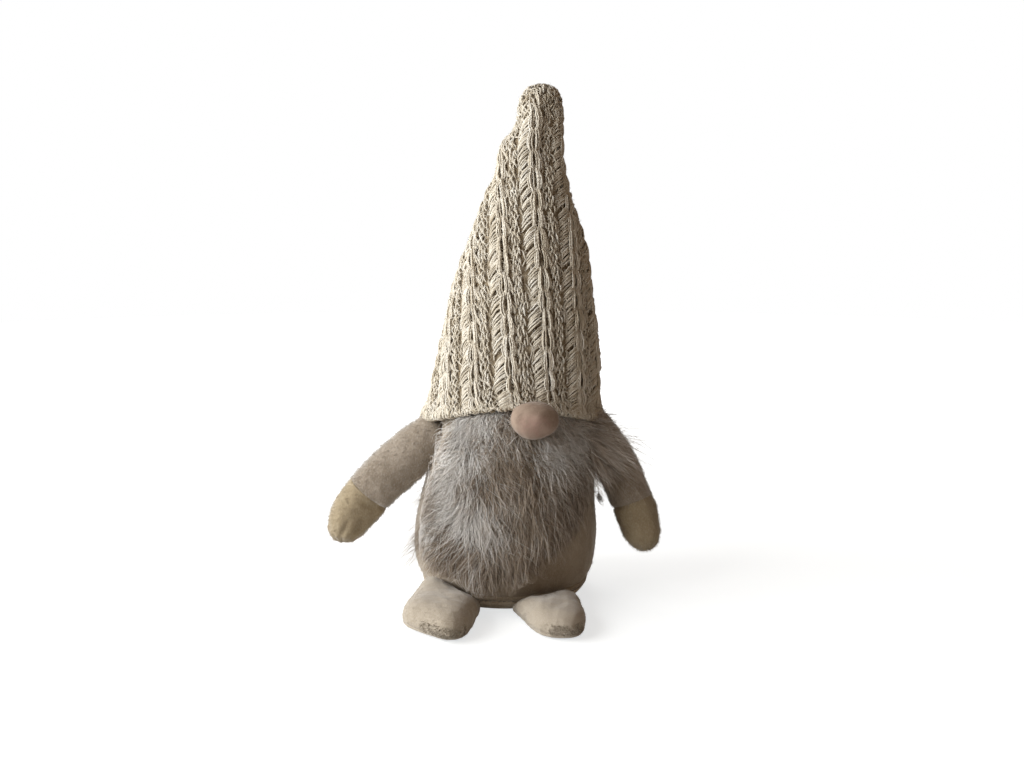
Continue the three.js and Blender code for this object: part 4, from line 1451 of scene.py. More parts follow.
@dataclass
class Nose:
    """A small stuffed ball of fine cloth, gathered at the back."""

    wardrobe: Wardrobe
    centre: Place = (16.5, -54.0, 112.5)
    half: Place = (13.25, 10.0, 10.0)
    neck: float = 4.0
    seat: float = -39.0
    thread_turns: int = 5
    thread_radius: float = 4.75
    thread_rise: float = 0.9  # how far its turns reach to each side

    def build(self) -> None:
        """Builds and dresses the ball, its neck and the thread round it."""
        bm = bmesh.new()
        bmesh.ops.create_icosphere(bm, subdivisions=5, radius=MM)
        made = object_from("nose_ball", bm)

        def shape(points: Array) -> Array:
            """Draws the ball to its size, slackens its lower edge and gathers its back."""
            away = unit(points)
            size = 1 + 0.025 * ripple(away, 1.3, 61) + 0.012 * ripple(away, 0.45, 62)
            back = smoothstep(away[:, 1], 0.55, 0.98)
            folds = 1 + 0.06 * back * np.sin(np.arctan2(away[:, 2], away[:, 0]) * 11)
            ball = away * np.array(self.half) * (size * folds)[:, None]
            ball[:, 2] -= 0.6 * smoothstep(-away[:, 2], 0.1, 0.9) * (1 - back)
            pull = smoothstep(away[:, 1], 0.72, 1.0)
            across = np.hypot(ball[:, 0], ball[:, 2]) + 1e-6
            narrow = np.minimum(1, self.neck / across)
            ball[:, 0] = mix(ball[:, 0], ball[:, 0] * narrow, pull)
            ball[:, 2] = mix(ball[:, 2], ball[:, 2] * narrow, pull)
            ball[:, 1] = ball[:, 1] + pull * (self.seat - self.centre[1] - self.half[1])
            return ball + np.array(self.centre)

        reshape(made, shape)
        settle(made, self.wardrobe.nose, "torso", ["nose_cover"])
        turns = np.linspace(0, self.thread_turns * TAU, 121)
        along = np.linspace(-self.thread_rise, self.thread_rise, len(turns))
        path = np.stack([self.thread_radius * np.cos(turns), along, self.thread_radius * np.sin(turns)], -1)
        thread = Strands("nose_thread_turns", 5)
        thread.add((path + (self.centre[0], self.seat - 2.6, self.centre[2]))[None], 0.2, 0.5)
        settle(thread.build(), self.wardrobe.thread, "torso", ["nose_thread"])

    def clear(self, points: Array) -> Array:
        """Moves points that are in the ball to just outside it."""
        centre, half = np.array(self.centre), np.array(self.half) * 1.06
        away = (points - centre) / half
        inside = np.maximum(np.linalg.norm(away, axis=-1, keepdims=True), 1e-6)
        return np.where(inside < 1, centre + away / inside * half, points)


# --- Beard ---


@dataclass(frozen=True)
class Coat:
    """One layer of hair in the beard."""

    name: str
    count: int
    length: float
    low: float  # how far out its tips lie, lowest and highest
    high: float
    half: float  # half thickness at the root
    tone: float
    spread: float
    wild: float  # how far single hairs leave their lock
    parts: int


@dataclass
class Beard:
    """The fur beard: its cloth, and coats of hair that lie on it in locks.

    Places on it are a distance along the cloth from the front centre line, and a height.
    """

    wardrobe: Wardrobe
    nose: Nose
    top: float = 124.0
    bottom: float = 27.0
    gap: float = 0.9
    skin: float = 1.2  # from the gap to the roots of the hair
    bend: float = 98.0
    bend_depth: float = -44.5
    bend_reach: float = 7.0  # how far above and below the bend the cloth turns
    steps: int = 4  # from point to point along a hair
    straight_from: float = 56.0  # past here, hair leaves the side of the body straight
    left: tuple[tuple[float, float], ...] = (
        (-30, 124), (-42, 98), (-55, 74), (-61, 50), (-48, 34), (-24, 27),
    )
    right: tuple[tuple[float, float], ...] = ((46, 124), (49, 98), (46, 80), (33, 57), (18, 38), (4, 27))
    # The tone column mixes the fur's own pale and brown locks with painted shade: lower tones on the right,
    # away from the lamps.
    # Along, height, angle of the flow from straight down, length against the coat's, tone
    flow: tuple[tuple[float, float, float, float, float], ...] = (
        (-32, 116, -24, 0.7, 0.92), (-12, 116, -16, 0.6, 0.88), (-2, 110, -18, 0.55, 0.44),
        (30, 116, 34, 0.8, 0.72), (40, 108, 66, 0.9, 0.80), (-34, 98, -34, 0.75, 0.74),
        (-22, 101, -22, 0.8, 0.88), (-7, 99, 8, 0.8, 0.22), (3, 91, 26, 0.8, 0.24),
        (14, 96, 46, 0.9, 0.98), (30, 97, 52, 1.0, 0.80), (45, 92, 58, 1.0, 0.50),
        (-46, 78, -18, 0.7, 0.36), (-37, 78, -28, 0.9, 0.54), (-25, 78, -14, 1.0, 0.66),
        (-9, 82, 8, 1.0, 0.30), (4, 77, 20, 1.0, 0.30), (18, 82, 34, 1.0, 0.56),
        (31, 78, 42, 1.0, 0.42), (44, 76, 40, 0.8, 0.26), (-50, 62, -12, 0.6, 0.36),
        (-34, 60, -52, 1.1, 0.76), (-22, 64, -34, 1.1, 0.84), (-10, 60, -2, 1.0, 0.84),
        (6, 60, 12, 1.0, 0.34), (22, 60, 20, 1.0, 0.28), (38, 58, 20, 0.7, 0.20),
        (-50, 48, -30, 0.7, 0.50), (-38, 50, -56, 1.0, 0.72), (-26, 46, -22, 1.0, 0.32),
        (-11, 42, -3, 1.0, 0.46), (8, 40, 8, 0.9, 0.28), (26, 46, 14, 0.8, 0.24),
        (-44, 36, -20, 0.6, 0.30), (-30, 34, -12, 0.7, 0.26), (-12, 28, -2, 0.8, 0.32),
        (6, 27, 5, 0.7, 0.34), (20, 34, 8, 0.6, 0.24),
    )

    def place(self, across: Array, height: Array, out: Array | float) -> Array:
        """Points on the beard, which hangs straight below the belly."""
        radius = SACK.radius(np.maximum(height, SACK.belly_height))
        angle = across / radius
        side = STANCE.side(height) + (radius + out) * np.sin(angle)
        return np.stack([side, -(radius * SACK.share + out) * np.cos(angle), height], -1)

    def sides(self, height: Array) -> tuple[Array, Array]:
        """The left and right edge of the cloth at a height."""
        edges = []
        for side in (self.left, self.right):
            line = smooth_line(side)[::-1]
            edges.append(np.interp(height, line[:, 1], line[:, 0]))
        return edges[0], edges[1]

    def stream(self, across: Array, height: Array) -> tuple[Array, Array, Array]:
        """The angle, length and tone of the hair at places, between the known ones."""
        known = np.array(self.flow)
        away = (across[..., None] - known[:, 0]) ** 2 + ((height[..., None] - known[:, 1]) * 0.9) ** 2
        weight = 1 / (away + 9) ** 2.5
        weight = weight / weight.sum(-1, keepdims=True)
        angle, length, tone = (weight @ known[:, 2:]).T
        return np.radians(angle.T), length.T, tone.T

    def build(self) -> None:
        """Builds and dresses the cloth and all coats."""
        self.cloth()
        coats = (
            Coat("beard_underfur", 5800, 13, 1.0, 3.4, 0.225, -0.20, 0.10, 0.45, 1),
            Coat("beard_fur", 11800, 21, 2.8, 7.4, 0.18, 0.02, 0.17, 0.40, 2),
            Coat("beard_top_hairs", 5800, 26, 5.0, 10.0, 0.135, 0.14, 0.19, 0.75, 1),
        )
        for number, coat in enumerate(coats):
            self.coat(coat, 70 + number)
        self.strays()

    def cloth(self) -> None:
        """The fur's backing cloth, dark as painted shade deep among the hairs."""

        def sheet(across: Array, along: Array) -> Array:
            """A point of the cloth."""
            height = mix(self.bottom + 7, self.top, along)
            left, right = self.sides(height)
            return self.place(mix(left + 9, right - 5, across), height, self.gap + self.skin)

        made = grid_form("beard_cloth_painted_shade", 56, 56, sheet, 1.1, False)
        settle(made, self.wardrobe.fur_cloth_painted_shade, "", ["beard_band", "beard"])
        self.hinge(made)

    def hinge(self, made: bpy.types.Object) -> None:
        """Bakes a piece's place into its mesh; the ends of the beard's hinge are worked out but not used."""
        start, end = (
            (0, self.bend_depth * MM, (self.bend + away) * MM) for away in (self.bend_reach, -self.bend_reach)
        )
        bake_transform(made)
        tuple(start)
        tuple(end)

    def locks(self, rng: np.random.Generator, count: int, thinned: float) -> tuple[Array, Array]:
        """Places inside the beard's outline.

        Args:
            rng: The random numbers.
            count: How many places.
            thinned: How much fewer there are low on the right.

        Returns:
            Their distances across and their heights.
        """
        height = rng.uniform(self.bottom, self.top - 4, count * 4)
        across = rng.uniform(-62, 50, count * 4)
        left, right = self.sides(height)
        inside = smoothstep(across - left, 3, 12) * smoothstep(right - across, -2, 8)
        # The fur thins out low on the right.
        bare = smoothstep(across - mix(6, 30, smoothstep(height, 22, 70)), 0, 16)
        bare = bare * (1 - smoothstep(height, 60, 82))
        kept = rng.random(count * 4) < inside * (1 - thinned * bare)
        return across[kept][:count], height[kept][:count]

    def comb(
        self, across: Array, height: Array, length: Array, turn: Array, out: Array, curl: Array
    ) -> Array:
        """The paths of hairs that flow with the beard.

        Args:
            across: Where each hair starts, across the cloth.
            height: Where it starts, up the cloth.
            length: Its length.
            turn: How far its way differs from the flow's.
            out: How far out its tip lies.
            curl: How far it curls sideways.

        Returns:
            The paths, as (hair, point, (across, height, out)).
        """
        x, z = across.copy(), height.copy()
        points = [np.stack([x, z, np.full_like(x, self.gap + self.skin)], -1)]
        for step in range(1, self.steps + 1):
            share = step / self.steps
            angle = self.stream(x, z)[0] + turn + curl * math.sin(share * math.pi * 1.2)
            x = x + np.sin(angle) * length / self.steps
            z = z - np.cos(angle) * length / self.steps
            level = self.gap + self.skin + (out - self.skin) * math.sin(min(share * 1.7, 1.0) * math.pi / 2)
            points.append(np.stack([x, z, level - 0.12 * out * max(0, share - 0.7) * 3], -1))
        return np.stack(points, 1)

    def keep_clear(self, paths: Array) -> Array:
        """Keeps hairs under the hat's hem, off the floor and the feet, and out of the nose.

        Args:
            paths: Hairs as (across, height, out).

        Returns:
            The hairs as points.
        """
        across, height, out = paths[..., 0], paths[..., 1], paths[..., 2]
        hem = HAT.hem_height + HAT.hem_lift * np.cos(across / 47) ** 2
        room = mix(1.6, 14, smoothstep(hem - height, -3, 12))
        out = np.minimum(out, room)
        side = STANCE.side(height) + 50 * np.sin(across / 52)
        floor = mix(19.0, 9.0, smoothstep(side, -26, -12) * (1 - smoothstep(side, 0, 12)))
        low = np.maximum(floor + 8 - height, 0)
        height = np.where(height < floor + 8, floor + 8 * np.exp(-low / 8), height)
        # On the left the hair lies back along the side, so that a strip of plush stays bare.
        past = np.maximum(-46 - across, 0)
        across = np.where(across < -46, -46 - 9 * (1 - np.exp(-past / 9)), across)
        out = out * (1 - 0.6 * smoothstep(past, 0, 9))
        # Past the side of the body the hair leaves it straight.
        beyond = np.maximum(np.abs(across) - self.straight_from, 0) * np.sign(across)
        points = self.place(across - beyond, height, out)
        around = SACK.radius(np.maximum(height, SACK.belly_height))
        turn = np.sign(across) * self.straight_from / around
        straight = np.stack([np.cos(turn), np.sin(turn) * SACK.share * 0.8, 0 * turn], -1)
        return self.nose.clear(points + beyond[..., None] * straight)

    def coat(self, coat: Coat, seed: int) -> None:
        """One layer of hair, in locks.

        Args:
            coat: Which layer.
            seed: Which hairs.
        """
        rng = np.random.default_rng(seed)
        locks = max(60, coat.count // 30)
        lock_x, lock_z = self.locks(rng, locks, 0.72 if coat.low > 2 else 0.0)
        which = rng.integers(0, len(lock_x), coat.count)
        reach = rng.normal(0, 1, (coat.count, 2)) * (3.0, 3.8)
        across, height = lock_x[which] + reach[:, 0], lock_z[which] + reach[:, 1]
        left, right = self.sides(height)
        inside = (across > left) & (across < right)
        inside = inside & (height > self.bottom) & (height < self.top - 3)
        across, height, which, reach = across[inside], height[inside], which[inside], reach[inside]
        _, share, tone = self.stream(across, height)
        # This stretches the flow's tones, and with them the painted shade on the right.
        tone = 0.49 + (tone - 0.5) * 1.75
        lock_length = rng.uniform(0.75, 1.25, len(lock_x))[which]
        length = coat.length * share * lock_length * rng.uniform(0.75, 1.15, len(across))
        woolly = 1 + 1.5 * smoothstep(height, 68, 98) * (1 - smoothstep(across, -4, 12))
        turn = rng.normal(0, 0.17, len(lock_x))[which]
        turn = turn + rng.normal(0, 0.10 * (1 + coat.wild * 2), len(across))
        curl = rng.normal(0, 0.34, len(lock_x))[which]
        curl = (curl + rng.normal(0, coat.wild * 0.35, len(across))) * woolly
        rim = np.minimum(across - left[inside], right[inside] - across)
        thick = 0.45 + 0.55 * smoothstep(np.minimum(rim, height - self.bottom + 6), 0, 16)
        out = mix(coat.low, coat.high, rng.random(len(lock_x))[which]) * thick
        out = out + rng.normal(0, 0.5, len(across))
        paths = self.comb(across, height, length, turn, np.maximum(out, 1.3), curl)
        # The hairs of a lock draw together towards its tip.
        drawn = rng.uniform(0.35, 0.85, len(lock_x))[which][:, None]
        draw = np.linspace(0, 1, paths.shape[1]) ** 1.4 * drawn
        paths[..., 0] -= reach[:, 0, None] * draw
        paths[..., 1] -= reach[:, 1, None] * draw * 0.6
        tones = tone + coat.tone + rng.normal(0, coat.spread, len(lock_x))[which]
        tones = tones + rng.normal(0, 0.12, len(across))
        radii = coat.half * np.array([0.92, 1, 0.9, 0.64, 0.18])
        places = self.keep_clear(paths)
        for part in range(coat.parts):
            hairs = Strands(f"{coat.name}_{part + 1}" if coat.parts > 1 else coat.name)
            hairs.add(places[part :: coat.parts], radii, np.clip(tones[part :: coat.parts], 0, 1))
            self.hinge(settle(hairs.build(), self.wardrobe.fur, ""))

    def strays(self) -> None:
        """Long hairs past the left side and over the right shoulder, and shed ones in the plush."""
        rng = np.random.default_rng(79)
        hung = (
            (90, (-44, -29, 62), (3, 3, 20), (-0.78, -0.06, -0.60), 14, 0.6, 0.085),
            (110, (-45, -28, 40), (3, 3, 13), (-0.70, -0.06, -0.68), 14, 0.55, 0.085),
            (950, (47, -34, 98), (5, 3, 8), (0.72, 0.08, -0.62), 22, 0.50, 0.15),
            (300, (58, -22, 106), (3, 4, 3), (0.62, -0.1, -0.1), 13, 0.54, 0.13),
            (260, (56, -14, 105), (1.5, 7, 2.5), (0.5, -0.1, 0.55), 7, 0.40, 0.12),
            (90, (45, -37, 104), (5, 4, 6), (0.84, -0.24, -0.30), 28, 0.5, 0.09),
            (80, (50, -31, 97), (4, 4, 6), (0.88, -0.17, -0.42), 29, 0.5, 0.09),
            (170, (53, -30, 99), (4, 4, 9), (0.91, -0.16, -0.24), 34, 0.66, 0.1),
        )
        shed = (
            (16, (54, -26, 70), (2, 4, 7), (0.62, -0.1, -0.75), 7, 0.45, 0.085),
            (70, (54.5, -13, 60), (1.2, 3, 3), (0.74, -0.1, -0.66), 4.4, 0.3, 0.085),
        )
        self.loose("beard_stray_hairs", hung, rng, "")
        self.loose("shed_hairs", shed, rng, "torso")

    def loose(self, name: str, groups: tuple, rng: np.random.Generator, body: str) -> None:
        """Loose hairs, each group round a place.

        Args:
            name: Name of the piece.
            groups: Count, centre, reach, way, length, tone and half thickness of each group.
            rng: The random numbers.
            body: The body that carries them, or nothing for hairs that no body carries.
        """
        hairs = Strands(name)
        share = np.linspace(0, 1, 5)[None, :, None]
        for count, centre, reach, way, length, tone, half in groups:
            root = np.array(centre) + rng.normal(0, 0.5, (count, 3)) * reach
            inside = SACK.clear(root, 1.5)
            aside = root[:, 0] - STANCE.side(root[:, 2])
            outward = unit(np.stack([aside, root[:, 1], 0 * aside], -1))
            root = root - outward * inside[:, None]
            ways = unit(np.array(way) + rng.normal(0, 0.24, (count, 3)))
            long = length * rng.uniform(0.5, 1.5, (count, 1, 1))
            sag = np.array([0, 0, -1]) * rng.uniform(0.02, 0.2, (count, 1, 1)) * long
            swing = np.cross(ways, rng.normal(0, 1, (count, 3)))[:, None]
            swing = swing * rng.uniform(0, 0.12, (count, 1, 1)) * long
            paths = root[:, None] + ways[:, None] * share * long + sag * share**2
            paths = paths + swing * np.sin(share * math.pi)
            tones = np.clip(rng.normal(tone, 0.2, count), 0, 1)
            hairs.add(paths, half * np.array([1, 1, 0.86, 0.62, 0.25]), tones)
        made = settle(hairs.build(), self.wardrobe.fur, body)
        if not body:
            self.hinge(made)


# --- Arms ---


class Side(Enum):
    """The side that a limb is on, as seen from the front."""

    LEFT = "left"
    RIGHT = "right"


@dataclass
class Arm:
    """A stuffed arm along a curve: a taupe sleeve and a beige mitten."""

    wardrobe: Wardrobe
    side: Side
    root: Place
    bend: Place
    tip: Place
    blunt: float  # how square the tip is: 2 is round
    creases: tuple[Crease, ...] = ()
    seed: int = 0
    width: float = 29.0
    depth: float = 25.0
    root_width: float = 26.0
    wrist_width: float = 28.0
    mitten_width: float = 25.5
    wrist: float = 0.62
    shrunk: float = 1.0
    cap: float = 1.8
    sleeve_hairs: int = 5000
    mitten_hairs: int = 2600
    sleeve: bpy.types.Object | None = None

    def axis(self, share: Array) -> tuple[Array, Array, Array, Array]:
        """The middle of the arm and its directions.

        Args:
            share: Shares of the arm's length, which may run past its ends.

        Returns:
            The middle, and the ways along, up and to the back.
        """
        step = np.linspace(0, 1, 201)[:, None]
        root, bend, tip = (np.array(place, float) for place in (self.root, self.bend, self.tip))
        line = (1 - step) ** 2 * root + 2 * step * (1 - step) * bend + step**2 * tip
        run = np.concatenate([[0], np.cumsum(np.linalg.norm(np.diff(line, axis=0), axis=1))])
        at = np.interp(np.clip(share, 0, 1) * run[-1], run, step[:, 0])[:, None]
        middle = (1 - at) ** 2 * root + 2 * at * (1 - at) * bend + at**2 * tip
        along = unit((1 - at) * (bend - root) + at * (tip - bend))
        middle = middle + along * ((share - np.clip(share, 0, 1)) * run[-1])[:, None]
        back = unit(np.array([0.0, 1.0, 0.0]) - along * along[:, 1:2])
        return middle, along, np.cross(back, along), back

    def at(self, share: float) -> tuple[Array, Array]:
        """The middle of the arm and its way at one share of its length."""
        middle, along = self.axis(np.array([share]))[:2]
        return middle[0], along[0]

    def plain(self, name: str, shrunk: float, first: float, last: float) -> bpy.types.Object:
        """The arm's plain form.

        Args:
            name: Name of the piece.
            shrunk: How far inside the arm's surface it lies.
            first: Share of the arm's length where it starts.
            last: Share of the arm's length where it ends.

        Returns:
            The object.
        """
        bm = bmesh.new()
        bmesh.ops.create_uvsphere(bm, u_segments=40, v_segments=72, radius=MM)

        def shape(points: Array) -> Array:
            """Lays the ball's rings along the arm."""
            away = unit(points)
            way = 1 - np.arccos(np.clip(away[:, 2], -1, 1)) / math.pi
            share = mix(first, last, way)
            around = np.arctan2(away[:, 1], away[:, 0])
            middle, _, up, back = self.axis(share)
            sleeve = mix(self.width, self.wrist_width, smoothstep(share, 0.26, self.wrist))
            full = mix(sleeve, self.mitten_width, smoothstep(share, self.wrist, 1))
            across = mix(self.root_width, full, smoothstep(share, -0.02, 0.3)) / 2 - shrunk
            deep = mix(19.0, self.depth, smoothstep(share, 0, 0.3)) / 2 - shrunk
            beyond = np.clip((share - last + 0.16) / 0.16, 0, 1)
            end = (1 - beyond**self.blunt) ** (1 / self.blunt) * np.clip((share - first) / 0.03, 0, 1) ** 0.5
            rise, depth = np.cos(around) * across * end, np.sin(around) * deep * end
            return middle + up * rise[:, None] + back * depth[:, None]

        return reshape(object_from(name, bm), shape)

    def form(self, padding: Padding) -> None:
        """Makes the arm's plain form and hands it over for swelling."""
        made = self.plain(f"{self.side.value}_sleeve_plush", self.shrunk, -0.05, 1.0)
        self.sleeve = made
        root = self.at(0.0)[0]
        wrist, along = self.at(self.wrist)

        def held(points: Array) -> Array:
            """Sewn at the root and round the wrist."""
            near = 1 - smoothstep(np.linalg.norm(points - root, axis=1), 6, 16)
            plane = np.abs((points - wrist) @ along)
            return np.maximum(near, 1 - smoothstep(plane, 0.5, 3.5))

        padding.take(made, 3.2, self.cap, held)

    def finish(self) -> None:
        """Creases the arm, parts sleeve and mitten at the wrist seam and dresses both."""
        made = self.sleeve
        subdivide(made, 2)
        wrist, along = self.at(self.wrist)
        tip_place, tip_way = self.at(1.0)

        def crease(points: Array) -> Array:
            """Sinks the creases and the wrist, and makes the stuffing uneven."""
            outward = normals_of(made.data)
            past = (points - wrist) @ along
            move = 0.35 * ripple(points, 22, self.seed) + 0.14 * ripple(points, 7, self.seed + 1)
            across = (points - wrist) @ np.cross(along, [0, 1, 0])
            inner = across * (1 if self.side is Side.LEFT else -1)
            move = move - (0.1 + 1.15 * smoothstep(inner, -2, 11)) * hump(past, 0.4, 1.3)
            move = move + 0.2 * hump(past, -3.6, 2.4)
            under = (points[:, 1] > wrist[1]) * smoothstep(points[:, 2], 200, 90)
            move = move - 0.5 * hump(np.abs(across), 0, 1.2) * under
            for furrow in self.creases:
                move = move - furrow.sink(points)
            seam = (points - tip_place) @ tip_way
            gather = smoothstep(seam, -9, 0)
            aside = (points - tip_place) @ np.cross(tip_way, [0, 1, 0])
            around = np.arctan2(aside, points[:, 1] - tip_place[1])
            move = move + 0.4 * gather * np.sin(around * 9 + 1.7)
            return points + outward * move[:, None]

        reshape(made, crease)
        side = self.side.value
        mitten = split(made, f"{side}_mitten_plush", wrist, along, 0.06)
        body = f"{side}_arm"
        settle(made, self.wardrobe.sleeve, "", [f"{side}_sleeve"])
        settle(mitten, self.wardrobe.mitten, body, [f"{side}_mitten"])
        sleeve_nap = self.nap(f"{side}_sleeve_nap", made, self.sleeve_hairs)
        mitten_nap = self.nap(f"{side}_mitten_nap", mitten, self.mitten_hairs)
        settle(sleeve_nap, self.wardrobe.sleeve_pile, "")
        settle(mitten_nap, self.wardrobe.mitten_pile, body)
        filling = self.plain(f"{side}_arm_fibre", self.shrunk + 3.0, 0.01, 0.96)
        settle(filling, self.wardrobe.fibre, "", [f"{side}_arm_filling"])
        for piece in (made, sleeve_nap, filling):
            self.hinge(piece)

    def nap(self, name: str, made: bpy.types.Object, count: int) -> bpy.types.Object:
        """Short fibres that lie towards the mitten's tip."""
        way = unit(np.array(self.tip) - self.root)

        def lay(root: Array, _: Array) -> tuple[Array, Array]:
            """Lies along the arm everywhere."""
            return np.broadcast_to(way, root.shape), np.ones(len(root))

        return pile(name, made, Pile(count, 1.4, 0.074, self.seed + 5, 0.45), lay)

    def hinge(self, made: bpy.types.Object) -> None:
        """Bakes a piece's place into its mesh; the ends of the arm's hinge are worked out but not used."""
        near, far = (self.at(share)[0] * MM for share in (0.03, 0.25))
        tuple(near)
        tuple(far)
        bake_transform(made)


# --- Feet ---

# Outlines at the seam, and how high the pads stand where they meet the sack.
LEFT_OUTLINE = (
    (-57, -66), (-55, -74), (-48, -81.5), (-40, -88), (-32, -93.5), (-25, -94), (-19.5, -89), (-16, -77),
    (-13.5, -60), (-12, -46), (-14, -40), (-24, -34), (-38, -26), (-47, -25), (-52, -36), (-55.5, -52),
)
LEFT_FOLD = ((-46, 30), (-44, 28), (-32.8, 18.5), (-21.6, 10), (-12.8, 5.5))
RIGHT_OUTLINE = (
    (2.5, -47), (7.4, -61), (12, -75), (17, -85), (23, -90), (31, -91.5), (38, -90.5), (43, -85),
    (45, -74), (44.5, -58), (42.5, -40), (38, -30), (24, -36), (8, -42),
)
RIGHT_FOLD = ((4, 7.5), (30, 11), (41, 14))


@dataclass
class Foot:
    """A stuffed pad, sewn to the front of the base, whose top and sole meet at a seam."""

    wardrobe: Wardrobe
    side: Side
    pivot: tuple[float, float]  # where it bends
    turn: float  # how its toe turns out, in degrees
    outline: tuple[tuple[float, float], ...]  # seen from above, at the seam
    crease: tuple[tuple[float, float], ...]  # place across, and height, of the fold along the sack
    seed: int = 0
    thick: float = 17.0
    seam: float = 4.0
    swell: float = 24.0  # how far from the sack the pad reaches its full height
    shrunk: float = 0.7
    cap: float = 1.3
    bend: float = 22.0  # how far ahead of the pivot the cloth still bends
    made: bpy.types.Object | None = None

    def toe(self) -> Array:
        """The way to the toe."""
        angle = math.radians(self.turn)
        return np.array([math.sin(angle), -math.cos(angle), 0])

    def middle(self) -> Array:
        """The middle of the outline."""
        return np.mean(self.outline, axis=0)

    def radius(self, around: Array) -> Array:
        """The outline's distance from its middle.

        Args:
            around: Angles about the middle.

        Returns:
            The distance in each of those ways.
        """
        closed = smooth_line([*self.outline, *self.outline[:3]], 12)[12:-12]
        away = closed - self.middle()
        angle = np.arctan2(away[:, 1], away[:, 0])
        order = np.argsort(angle)
        return np.interp(around, angle[order], np.hypot(away[:, 0], away[:, 1])[order], period=TAU)

    def plain(self, name: str, shrunk: float) -> bpy.types.Object:
        """The pad's plain form.

        Args:
            name: Name of the piece.
            shrunk: How far inside the pad's surface it lies.

        Returns:
            The object.
        """
        bm = bmesh.new()
        bmesh.ops.create_uvsphere(bm, u_segments=72, v_segments=40, radius=MM)

        def shape(points: Array) -> Array:
            """Draws the ball to the pad's outline, with its top drawn down to the fold along the sack."""
            away = unit(points)
            around = np.arctan2(away[:, 1], away[:, 0])
            wide = (1 - np.clip(np.abs(away[:, 2]), 0, 1) ** 2.2) ** 0.27
            across = wide * (self.radius(around) - shrunk)
            x, y = self.middle()
            placed = np.stack([x + across * np.cos(around), y + across * np.sin(around), 0 * around], 1)
            rise = np.maximum(away[:, 2], 0) * np.maximum(self.top(placed) - self.seam - shrunk, 0.3)
            below = np.minimum(np.maximum(away[:, 2] * 1.7, -1), 0) * (self.seam - max(shrunk, 0.5))
            placed[:, 2] = self.seam + rise + below
            return self.pressed(placed, shrunk)

        return reshape(object_from(name, bm), shape)

    def form(self, padding: Padding) -> None:
        """Makes the pad's plain form and hands it over for swelling."""
        self.made = self.plain(f"{self.side.value}_foot_top_plush", self.shrunk)

        def held(points: Array) -> Array:
            """Sewn at the sole and where the sack presses."""
            sole = 1 - smoothstep(points[:, 2], 2.5, 6)
            return np.maximum(sole, 1 - smoothstep(SACK.clear(points, 0), 2, 8))

        padding.take(self.made, 2.4, self.cap, held)

    def top(self, points: Array) -> Array:
        """How high the pad is at places: the fold's height at the sack, and full away from it."""
        fold = np.interp(points[:, 0], *np.array(self.crease).T)
        ahead = np.hypot(points[:, 0], points[:, 1] / SACK.share) - SACK.seam_width / 2
        return mix(fold, self.thick, np.sin(np.clip(ahead / self.swell, 0, 1) * math.pi / 2))

    def pressed(self, points: Array, room: float = 0.4) -> Array:
        """Pushes points that are in the sack out of it, to a distance from its surface."""
        inside = np.maximum(-SACK.clear(points, room), 0)
        outward = unit(np.stack([points[:, 0], points[:, 1], 0 * points[:, 0]], 1))
        return points + outward * inside[:, None]

    def hinge(self, made: bpy.types.Object) -> None:
        """Bakes a piece's place into its mesh; the start of the foot's hinge is worked out but not used."""
        start = np.array([*self.pivot, self.seam])
        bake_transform(made)

    def finish(self) -> None:
        """Furrows the seam, parts top and sole, and dresses them with their pile."""
        made = self.made
        subdivide(made, 2)

        def furrow(points: Array) -> Array:
            """Sinks the seam and makes the stuffing uneven."""
            outward = normals_of(made.data)
            move = 0.35 * ripple(points, 20, self.seed) + 0.12 * ripple(points, 6, self.seed + 1)
            move = move * smoothstep(points[:, 2], 1, 6) - 0.35 * hump(points[:, 2], self.seam, 0.9)
            moved = points + outward * move[:, None]
            moved[:, 2] = np.maximum(moved[:, 2], 0.05)
            return self.pressed(moved)

        reshape(made, furrow)
        side = self.side.value
        seam, down = np.array([0, 0, self.seam]), np.array([0.0, 0.0, -1.0])
        sole = split(made, f"{side}_foot_sole_plush", seam, down, 0.1)
        settle(made, self.wardrobe.foot, "", [f"{side}_foot_top"])
        settle(sole, self.wardrobe.foot, "", [f"{side}_foot_sole"])
        toe, middle = self.toe(), np.array([*self.middle(), 0])

        def lay(root: Array, _: Array) -> tuple[Array, Array]:
            """Longer and ruffled at the toe, short elsewhere, and none where the sack presses."""
            ahead = (root - middle) @ toe
            share = 0.3 + 0.7 * smoothstep(ahead, 17, 30) * (1 - smoothstep(root[:, 2], 8, 14))
            share = share * smoothstep(SACK.clear(root, 0), 1, 5) * (root[:, 2] > 1.2)
            return np.broadcast_to(toe * 0.8 + np.array([0, 0, -0.5]), root.shape), share

        def rough(root: Array, normal: Array) -> tuple[Array, Array]:
            """Bristles low on the toe only."""
            way, share = lay(root, normal)
            ahead = (root - middle) @ toe
            return way, share * (ahead > 22 + 2 * np.sin(root[:, 0] * 0.9)) * (root[:, 2] < 9)

        downy = Pile(4500, 1.7, 0.08, self.seed + 5, 0.5, (0.3, 1.0))
        stiff = Pile(9000, 2.3, 0.11, self.seed + 6, 0.6, (0.0, 0.4))
        hairs = pile(f"{side}_foot_pile", made, downy, lay)
        bristles = pile(f"{side}_toe_bristles", made, stiff, rough)
        for coat in (hairs, bristles):
            settle(coat, self.wardrobe.foot_pile, "")
        filling = self.plain(f"{side}_foot_fibre", self.shrunk + 2.0)
        settle(filling, self.wardrobe.fibre, "", [f"{side}_foot_filling"])
        for piece in (made, sole, hairs, bristles, filling):
            self.hinge(piece)


# --- Studio ---


